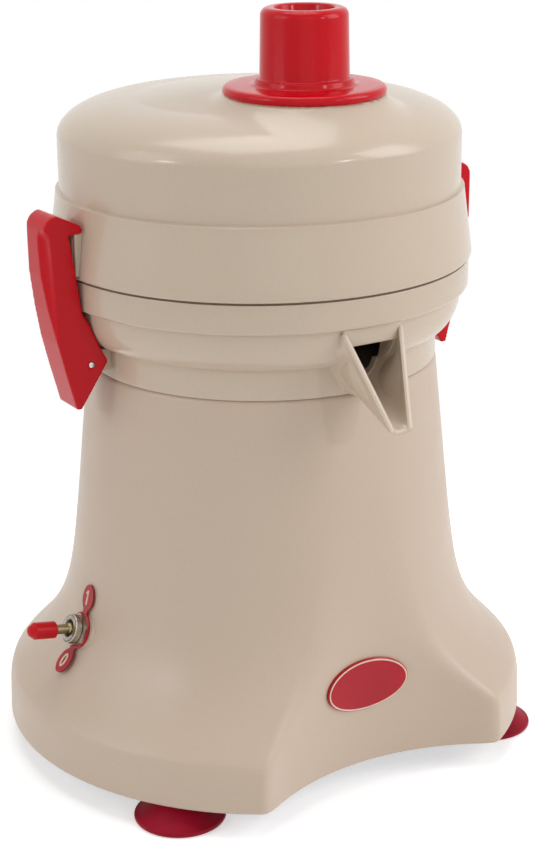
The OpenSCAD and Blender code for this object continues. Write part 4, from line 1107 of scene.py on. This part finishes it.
@dataclass
class Lid:
    """Moulded lid: drafted skirt, a line, an upright wall, a dome and the seat of the pusher."""

    rim_z: float = RIM_Z
    gasket_t: float = 0.8
    edge_r: float = 96.9
    edge_round: float = 1.6
    bead_up: float = 31.6
    wall_r: float = 91.4
    bead_w: float = 1.7
    shoulder_up: float = 55.4
    shoulder_w: float = 34.3
    shoulder_h: float = 16.2
    height: float = 76.9
    wall: float = 2.8
    chute_y: float = CHUTE_Y
    chute_r: float = 28.1
    collar_w: float = 3.1
    collar_t: float = 1.6
    boss_r: float = 35.0
    boss_flare: float = 0.74
    boss_blend: float = 9.0
    spigot_r: float = 92.3
    spigot_w: float = 2.2
    spigot_h: float = 8.0
    catch_x: float = 98.0
    catch_w: float = 15.0
    catch_low: float = 238.2
    catch_top: float = 257.4
    catch_round: float = 0.7
    groove: float = 1.0
    grooves: int = 4
    groove_over: float = 2.5
    cutter_down: float = 33.0
    cutter_up: float = 17.0
    boss_over: float = 8.0
    crisp: float = 0.3
    bead_drop: float = 1.0
    turn_in: float = 1.5
    turn_back: float = 0.8
    inner_edge: float = 3.2
    spigot_foot: float = 1.6
    inner_rows: int = 20
    outer_rows: int = 40
    steps: int = 420
    smooth_to: float = 34.0

    @property
    def base(self) -> float:
        """Height of the lid's edge, on its gasket."""
        return self.rim_z + self.gasket_t

    @property
    def seat(self) -> float:
        """Height of the pusher's seat."""
        return self.base + self.height + 0.1

    def dome(self, inset: float, rows: int) -> list[Point]:
        """Points of the shoulder and the dome, from the wall to the middle.

        Args:
            inset: distance inside the outer face.
            rows: runs of the shoulder, and of the dome.

        Returns:
            The points.
        """
        middle, turn_z = self.wall_r - self.shoulder_w, self.base + self.shoulder_up
        turns = [math.pi / 2 * t for t in shares(rows)]
        points = [(middle + (self.shoulder_w - inset) * math.cos(a),
                   turn_z + (self.shoulder_h - inset) * math.sin(a)) for a in turns]
        edge = turn_z + self.shoulder_h
        rise = self.base + self.height - edge
        return points + [(middle * (1 - t), edge - inset + rise * (1 - (1 - t) ** 2))
                         for t in shares(rows)[1:]]

    def outline(self) -> list[Point]:
        """Section of the lid's wall.

        Returns:
            The points, from the middle inside, round the edge and back up outside.
        """
        base, bead, crisp, turn = self.base, self.base + self.bead_up, self.crisp, self.turn_in
        top_r, ring_r = self.wall_r + self.bead_w, self.spigot_r - self.spigot_w
        points = list(reversed(self.dome(self.wall, self.inner_rows)))
        points += [(self.wall_r - self.wall, bead + turn),
                   (top_r - self.wall - self.turn_back, bead - turn),
                   (self.edge_r - 2 * self.wall, base + self.inner_edge),
                   (ring_r, base + self.spigot_foot), (ring_r, base - self.spigot_h),
                   (self.spigot_r, base - self.spigot_h), (self.spigot_r, base)]
        points += arc((self.edge_r - self.edge_round, base + self.edge_round), self.edge_round,
                      -90, 0, 6)
        points += [(self.edge_r + (top_r - self.edge_r) * t, base + self.edge_round
                    + (self.bead_up - self.edge_round - self.bead_drop) * t)
                   for t in shares(8)[1:]]
        points += [(top_r, bead - crisp), (top_r - crisp, bead), (self.wall_r + 0.2, bead + 0.1),
                   (self.wall_r, bead + crisp)]
        points += [(self.wall_r, z) for z in spread(bead + 0.9, base + self.shoulder_up, 6)][:-1]
        return points + self.dome(0, self.outer_rows)

    def bossed(self, places: np.ndarray) -> np.ndarray:
        """Raises the pusher's seat out of the dome, inside and out, with a soft foot.

        Args:
            places: vertices of the plain lid.

        Returns:
            Vertices of the lid with its seat.
        """
        x, y, z = places.T
        out = np.hypot(x, y + self.chute_y)
        cone = self.seat - np.maximum(0, out - self.boss_r) / self.boss_flare
        probe = np.array(self.dome(0, self.outer_rows))[::-1]
        skin = np.interp(np.hypot(x, y), probe[:, 0], probe[:, 1])
        goal = cone - np.where(z < skin - self.wall * 0.6, self.wall, 0)
        over = z > self.base + self.shoulder_up - self.boss_over
        raised = -soft_least(-z, -goal, self.boss_blend)
        return np.column_stack((x, y, np.where(over, raised, z)))

    def chute_cutter(self) -> Thing:
        """Models the cutter of the chute's bore and its collar's recess."""
        low, high = self.seat - self.cutter_down, self.seat + self.cutter_up
        step, wide = self.seat - self.collar_t, self.chute_r + self.collar_w
        return turned("chute_cutter", [(0, low), (self.chute_r, low), (self.chute_r, step),
                                       (wide, step), (wide, high), (0, high)],
                      (0, -self.chute_y), 120)

    def catch(self, side: int) -> Thing:
        """Models a ribbed catch.

        Args:
            side: -1 for the left one, 1 for the right one.

        Returns:
            The catch.
        """
        half, face = self.catch_w / 2, side * self.catch_x
        near, far = sorted((side * (self.wall_r - self.wall + 1), face))
        piece = block("lid_catch", (near, -half, self.catch_low), (far, half, self.catch_top),
                      self.catch_round)
        low, high = self.catch_low - 1, self.catch_top - self.groove_over
        for i in range(self.grooves):
            across = (i - (self.grooves - 1) / 2) * self.catch_w / self.grooves
            carve(piece, turned("groove", [(0, low), (self.groove, low), (self.groove, high),
                                           (0, high)], (face, across), 24))
        return piece

    def build(self) -> None:
        """Models the lid and dresses it."""
        piece = turned("lid_moulding", self.outline(), steps=self.steps)
        reshape(piece, self.bossed)
        carve(piece, self.chute_cutter())
        piece = smooth(joined(piece, self.catch(-1), self.catch(1)), self.smooth_to)
        finished(piece, BOWL_PLASTIC, "housing", "lid")


@dataclass
class Pusher:
    """Hat-shaped pusher: plunger, rolled flange, ring, tapered grip and a dished top."""

    centre_y: float = CHUTE_Y
    low: float = 218.4
    plunger_r: float = 25.2
    seat_z: float = 313.2
    flange_r: float = 35.8
    flange_t: float = 4.3
    grip_r: float = 19.6
    grip_top_r: float = 19.1
    top: float = 350.5
    ring_w: float = 1.8
    ring_h: float = 2.6
    grip_round: float = 3.4
    dish_r: float = 13.0
    dish_depth: float = 6.0
    low_round: float = 1.5
    lead: float = 0.4
    flange_rise: float = 0.3
    ring_foot: float = 1.0
    ring_round: float = 0.8
    grip_foot: float = 0.9
    dish_edge: float = 0.95
    dish_round: float = 2.6
    steps: int = 192
    smooth_to: float = 40.0

    def outline(self) -> list[Point]:
        """Section of the pusher.

        Returns:
            The points, from the middle below to the middle of the dish.
        """
        roll, edge, ring_r = self.flange_t / 2, self.low_round, self.grip_r + self.ring_w
        top, floor = self.seat_z + self.flange_t, self.top - self.dish_depth
        flat_r, ring_top = self.flange_r - roll, top + self.ring_h
        points = [(0, self.low)] + arc((self.plunger_r - edge, self.low + edge), edge, -90, 0, 4)
        points += [(self.plunger_r, self.seat_z - self.lead),
                   (self.plunger_r + self.lead, self.seat_z)]
        points += arc((flat_r, self.seat_z + roll), roll, -90, 72, 10)
        points += [(r, top - 0.05 + self.flange_rise * (flat_r - r) / (flat_r - self.grip_r))
                   for r in spread(flat_r - 0.6, ring_r + 1.6, 6)]
        points += arc((ring_r + 1.3, top + 1.4), self.ring_foot, -90, -180, 4)
        points += arc((ring_r - 0.7, ring_top - 0.3), self.ring_round, 0, 90, 4)
        points += arc((self.grip_r + self.grip_foot, ring_top + 1.3), self.grip_foot,
                      -90, -180, 4)
        points += arc((self.grip_top_r - self.grip_round, self.top - self.grip_round),
                      self.grip_round, 0, 80, 8)
        points += arc((self.dish_r + 0.9, self.top - 1.0), self.dish_edge, 90, 175, 5)
        points += arc((self.dish_r - 3.0, floor + self.dish_round), self.dish_round, -5, -90, 6)
        return points + [(self.dish_r / 2, floor - 0.15), (0, floor - 0.2)]

    def build(self) -> None:
        """Models the pusher and dresses it."""
        piece = turned("pusher_moulding", self.outline(), (0, -self.centre_y), self.steps)
        finished(smooth(piece, self.smooth_to), RED_PLASTIC, "pusher", "pusher")


@dataclass
class Clamps:
    """Two red over-centre clamps with finger flutes, on bright pins."""

    pin_r: float = 1.6
    pin_dome: tuple[Point, ...] = ((0.0, -0.3), (-0.5, 0.15), (-1.6, 0.25))
    width: float = 18.0
    voxel: float = 0.45
    rounding: int = 8
    regain: float = 0.12
    smooth_to: float = 60.0

    def softened(self, node: str, name: str) -> Thing:
        """Copies a clamp's solid and rounds all its edges as the mould does.

        Args:
            node: the CAD node.
            name: the piece's name.

        Returns:
            The clamp.
        """
        take(frame["nodes"][node])
        bpy.ops.object.duplicate()
        piece = named(name)
        world = piece.matrix_world.copy()
        piece.parent = None
        piece.matrix_world = world
        bpy.ops.object.transform_apply()
        piece.data.materials.clear()
        close_up(piece, 0.02)
        modify(piece, "REMESH", mode="VOXEL", voxel_size=self.voxel * MM)
        modify(piece, "SMOOTH", factor=0.5, iterations=self.rounding)
        modify(piece, "DISPLACE", strength=self.regain * MM, mid_level=0)
        return smooth(piece, self.smooth_to)

    def pin(self, side: int, name: str) -> Thing:
        """Models a pin with domed ends.

        Args:
            side: -1 for the left one, 1 for the right one.
            name: the piece's name.

        Returns:
            The pin.
        """
        end = [(self.pin_r + out, self.width / 2 + rise) for out, rise in self.pin_dome]
        below = [(x, -z) for x, z in reversed(end)]
        return smooth(laid(turned(name, below + end, steps=32), side * PIN_X, PIN_Z),
                      self.smooth_to)

    def build(self) -> None:
        """Models both clamps with their pins and dresses them."""
        for side, word in ((-1, "left"), (1, "right")):
            body = word + "_clamp"
            finished(self.softened(body, body + "_moulding"), RED_PLASTIC, body, body)
            finished(self.pin(side, body + "_rivet"), GROUND_STEEL, "housing", body + "_pin")


@dataclass
class SuctionFeet:
    """Four moulded suction feet, one model copied to each corner."""

    radius: float = 20.8
    lip: float = 1.6
    ring_w: float = 3.0
    hollow: float = 4.0
    cup_h: float = 9.0
    cup_power: float = 1.25
    neck_r: float = 9.0
    top: float = 15.0
    front: Point = (86.0, -69.0)
    rear: Point = (78.0, 61.0)
    steps: int = 96
    smooth_to: float = 40.0

    def outline(self) -> list[Point]:
        """Section of a foot.

        Returns:
            The points, from the middle of its hollow to the middle of its neck.
        """
        inner = self.radius - self.lip - self.ring_w
        points = [(0, self.hollow), (inner * 0.5, self.hollow - 0.5), (inner - 1.5, 1.6),
                  (inner, 0.15), (inner + 0.4, 0), (self.radius - self.lip, 0)]
        points += arc((self.radius - self.lip, self.lip), self.lip, -90, 30, 8)
        slope = [(self.radius - 0.6 - (self.radius - self.neck_r - 1.2) * t,
                  self.lip + 0.9 + (self.cup_h - self.lip) * t ** self.cup_power)
                 for t in shares(10)[1:]]
        return points + slope + [(self.neck_r, self.cup_h + 1.6), (self.neck_r, self.top),
                                 (0, self.top)]

    def build(self) -> None:
        """Models one foot, copies it and dresses all four."""
        first = smooth(turned("suction_foot", self.outline(), steps=self.steps), self.smooth_to)
        for end, (x, y) in (("front", self.front), ("rear", self.rear)):
            for word, side in (("left", -1), ("right", 1)):
                move = Matrix.Translation(Vector((side * x, y, 0)) * MM)
                foot = copied(first, f"suction_foot_{end}_{word}", move)
                finished(foot, RED_RUBBER, "housing", f"foot_{end}_{word}")
        bpy.data.objects.remove(first)


@dataclass
class Badge:
    """Bare oval badge, gently domed, with a fine pale border, bent to the front panel."""

    length: float = 44.0
    height: float = 24.6
    z: float = 51.8
    panel_y: float = PANEL_Y
    scoop_r: float = SCOOP_R
    thick: float = 1.5
    bevel: float = 0.4
    border: float = 0.7
    crown: float = 0.45
    unit: float = 10.0
    kept: float = 0.8
    gap: float = 0.02
    rings: tuple[float, ...] = (0.4, 0.5, 1.0, 1.5, 1.5, 1.5, 1.5)
    smooth_to: float = 30.0

    def bent(self, places: np.ndarray) -> np.ndarray:
        """Turns a round flat disc into the oval, domes its face and bends it to the panel.

        Near its edge a ring of the disc keeps its true distance from the oval's edge; further
        in the rings only shrink.

        Args:
            places: vertices of a disc of the unit's radius, its face up +Z.

        Returns:
            Vertices of the badge on the panel.
        """
        x, y, out = places.T
        share = np.hypot(x, y) / self.unit
        turn = np.arctan2(y, x)
        a, b = self.length / 2, self.height / 2
        edge = np.column_stack((a * np.cos(turn), b * np.sin(turn)))
        normal = np.column_stack((np.cos(turn) / a, np.sin(turn) / b))
        normal /= np.linalg.norm(normal, axis=1, keepdims=True)
        inset = np.minimum(1 - share, 1 - self.kept) * self.unit
        flat = (edge - normal * inset[:, None]) * np.minimum(share / self.kept, 1)[:, None]
        rise = np.where(out > self.thick / 2, self.crown * np.clip(1 - share ** 2, 0, 1), 0)
        radius = self.scoop_r - self.gap - out - rise
        angle = flat[:, 0] / self.scoop_r
        back = -(self.panel_y + self.scoop_r)
        return np.column_stack((radius * np.sin(angle), back + radius * np.cos(angle),
                                flat[:, 1] + self.z))

    def build(self) -> None:
        """Models the badge and dresses it."""
        deselect()
        bpy.ops.mesh.primitive_circle_add(vertices=128, radius=self.unit * MM, fill_type="NGON")
        piece = named("oval_badge")
        edit(piece)
        lift = (self.thick - self.bevel) * MM
        bpy.ops.mesh.extrude_region_move(TRANSFORM_OT_translate={"value": (0, 0, lift)})
        bpy.ops.mesh.inset(thickness=self.bevel * MM, depth=self.bevel * MM)
        for step in (self.border,) + self.rings:
            bpy.ops.mesh.inset(thickness=step * MM)
        bpy.ops.object.mode_set(mode="OBJECT")
        piece.data.materials.append(BADGE_ENAMEL.material())
        piece.data.materials.append(PALE_PAINT.material())
        rim = (self.unit - self.bevel - self.border / 2) * MM
        for face in piece.data.polygons:
            middle = face.center
            flat = middle.z > (self.thick - 0.05) * MM
            ring = abs(math.hypot(middle.x, middle.y) - rim) < 0.1 * MM
            face.material_index = int(flat and ring)
        close_up(piece, 0.001)
        reshape(piece, self.bent)
        finished(smooth(piece, self.smooth_to), BADGE_ENAMEL, "housing", "front_badge")


@dataclass
class SwitchHardware:
    """Knurled ring nut of the toggle switch; the rest of its hardware keeps the CAD shapes."""

    housing: BellHousing
    inner_r: float = 6.0
    outer_r: float = 6.9
    low: float = 4.15
    thick: float = 3.5
    edge: float = 0.45
    lead: float = 0.4
    teeth: int = 40
    tooth_h: float = 0.15
    smooth_to: float = 20.0

    def outline(self) -> list[Point]:
        """Section of the nut before its knurl.

        Returns:
            The points, from below on the inside, round the outside.
        """
        low, high, edge = self.low, self.low + self.thick, self.edge
        r = self.outer_r - self.tooth_h
        return [(self.inner_r, low), (r - edge, low), (r, low + edge), (r, (low + high) / 2),
                (r, high - edge), (r - edge, high), (self.inner_r + self.lead, high),
                (self.inner_r, high - self.lead)]

    def knurled(self, places: np.ndarray) -> np.ndarray:
        """Raises every other edge of the nut's rim to a tooth.

        Args:
            places: vertices of the plain nut.

        Returns:
            Vertices of the knurled nut.
        """
        x, y, z = places.T
        r = self.outer_r - self.tooth_h
        turn = np.round(np.arctan2(y, x) / (math.pi / self.teeth)).astype(int)
        rim = (np.hypot(x, y) > r - 0.1) & (turn % 2 == 0)
        grow = np.where(rim, 1 + self.tooth_h / r, 1)
        return np.column_stack((x * grow, y * grow, z))

    def build(self) -> None:
        """Models the knurled nut and dresses it."""
        nut = turned("knurled_ring_nut", self.outline(), steps=self.teeth * 2, loop=True)
        reshape(nut, self.knurled)
        placed(nut, self.housing.switch_place())
        finished(smooth(nut, self.smooth_to), NICKEL, "housing", "switch_ring_nut")


@dataclass
class CadDressing:
    """Gives every CAD node the finish of its material slot, or the node's own finish."""

    own: dict[str, Finish] = field(default_factory=lambda: {"lid_gasket": STAINED_RUBBER})

    def build(self) -> None:
        """Dresses the nodes."""
        by_slot = {finish.slot: finish for finish in FINISHES}
        for part in frame["record"]["subparts"]:
            node = frame["nodes"][part["node"]]
            finish = self.own.get(part["node"], by_slot[part["material_slot"]])
            if not node.material_slots:
                node.data.materials.append(None)
            for slot in node.material_slots:
                slot.material = finish.material()
            log.info("%s: %s", part["node"], finish.name)


def aimed(data: bpy.types.Camera | bpy.types.Light, place: Vector, target: Vector) -> Thing:
    """Puts a camera or a lamp at a place, turned to a target.

    Args:
        data: the camera or the lamp.
        place: where it stands, in metres.
        target: where it looks.

    Returns:
        Its object.
    """
    thing = bpy.data.objects.new(data.name, data)
    bpy.context.collection.objects.link(thing)
    turn = (target - place).to_track_quat("-Z", "Y").to_matrix().to_4x4()
    thing.matrix_world = Matrix.Translation(place) @ turn
    return thing


@dataclass(frozen=True)
class Softbox:
    """Area lamp that faces the object; its place and size are in metres, its power in watts."""

    name: str
    place: tuple[float, float, float]
    size: Point
    power: float
    tint: str = "FFFFFF"
    aim_z: float = 0.15

    def hang(self) -> None:
        """Adds the lamp."""
        data = bpy.data.lights.new(self.name, "AREA")
        data.shape, (data.size, data.size_y) = "RECTANGLE", self.size
        data.energy, data.color = self.power, linear(self.tint)[:3]
        aimed(data, Vector(self.place), Vector((0, 0, self.aim_z)))


# Large boxes for the soft shading, and two small ones for the sharp glints on lid and bowl
LAMPS = (Softbox("front_softbox", (-0.75, -1.75, 1.0), (1.5, 1.5), 3),
         Softbox("right_softbox", (1.45, -1.25, 1.1), (1.2, 1.5), 21, "FCFAFF"),
         Softbox("right_spot", (0.52, -1.83, 0.8), (0.1, 0.1), 2.8),
         Softbox("left_softbox", (-1.75, 0.3, 1.0), (1.1, 1.5), 7.5, "FDFBFF"),
         Softbox("left_spot", (-1.69, -0.21, 0.8), (0.1, 0.1), 2.2),
         Softbox("top_softbox", (0.0, 0.2, 1.9), (1.2, 1.2), 13))


@dataclass
class Studio:
    """Pale floor, plain soft lamps and the photograph's camera."""

    target: tuple[float, float, float] = (1.8, -1.1, 148.0)
    camera: tuple[float, float, float] = (-457.6, -765.7, 454.0)
    roll: float = 0.478
    lens: float = 82.9
    floor_r: float = 3000.0
    fade_from: float = 200.0
    fade_to: float = 550.0
    grain_mm: float = 1.1111
    lift: float = 0.425
    fill: float = 0.305

    def shoot(self) -> None:
        """Sets up the camera."""
        data = bpy.data.cameras.new("camera")
        data.lens, data.sensor_width, data.sensor_fit = self.lens, 36, "AUTO"
        data.clip_start, data.clip_end = 0.05, 20
        camera = aimed(data, Vector(self.camera) * MM, Vector(self.target) * MM)
        camera.matrix_world @= Matrix.Rotation(-math.radians(self.roll), 4, "Z")
        bpy.context.scene.camera = camera

    def paper(self) -> bpy.types.Material:
        """Builds the backdrop's material, which fades from lit paper to plain white.

        Returns:
            The material.
        """
        paper = bpy.data.materials.new("white_backdrop_paper")
        tree = bare_tree(paper)
        place = add_node(tree, "TexCoord").outputs["Object"]
        far = add_node(tree, "VectorMath", links={0: place}, operation="LENGTH")
        fade = eased(tree, far.outputs["Value"], self.fade_from * MM, self.fade_to * MM)
        tone = two_tone(tree, noise(tree, place, self.grain_mm), "F6F6F6", "FBFBFB")
        matt = add_node(tree, "BsdfDiffuse", links={"Color": tone}).outputs[0]
        glow, lift, dark = (add_node(tree, "Emission", {"Strength": power}).outputs[0]
                            for power in (1.0, self.lift, 0.0))
        seen = self.seen(tree)
        lifted = shaders_mixed(tree, seen, dark, lift)
        near = add_node(tree, "AddShader", links={0: matt, 1: lifted}).outputs[0]
        mixed = shaders_mixed(tree, combined(tree, "MULTIPLY", seen, fade), near, glow)
        add_node(tree, "OutputMaterial", links={"Surface": mixed})
        return paper

    def floor(self) -> None:
        """Adds the white floor, which keeps the object's shadow and fades into the backdrop."""
        deselect()
        bpy.ops.mesh.primitive_circle_add(vertices=96, radius=self.floor_r * MM,
                                          fill_type="NGON")
        piece = named("studio_floor")
        piece.data.materials.append(self.paper())

    def seen(self, tree: bpy.types.NodeTree) -> Socket:
        """Share of a ray that shows the backdrop: seen, mirrored or through glass.

        Args:
            tree: the node tree.

        Returns:
            A socket that is 1 for such a ray.
        """
        path = add_node(tree, "LightPath").outputs
        direct = combined(tree, "ADD", path["Is Camera Ray"], path["Is Glossy Ray"])
        return combined(tree, "ADD", direct, path["Is Transmission Ray"])

    def sky(self) -> None:
        """Sets the world: white to the camera, a soft pale fill for the object."""
        world = bpy.data.worlds.new("studio_world")
        bpy.context.scene.world = world
        tree = bare_tree(world)
        white = add_node(tree, "Background", {"Color": (1, 1, 1, 1), "Strength": 1.0})
        fill = add_node(tree, "Background", {"Color": linear("F4F2F0"),
                                             "Strength": self.fill})
        mixed = shaders_mixed(tree, self.seen(tree), fill.outputs[0], white.outputs[0])
        add_node(tree, "OutputWorld", links={"Surface": mixed})

    def build(self) -> None:
        """Sets up the whole studio."""
        self.shoot()
        self.floor()
        self.sky()
        for lamp in LAMPS:
            lamp.hang()
        bpy.context.scene.view_settings.view_transform = "Standard"


def main() -> None:
    """Builds the studio and every piece."""
    logging.basicConfig(level=logging.INFO, format="%(name)s %(message)s")
    housing = BellHousing()
    parts = [Studio(), CadDressing(), housing, JuiceBowl(), Lid(), Pusher(), Clamps(),
             SuctionFeet(), Badge(), SwitchHardware(housing)]
    for part in parts:
        log.info("building %s", type(part).__name__)
        part.build()
    deselect()


if __name__ == "__main__":
    main()
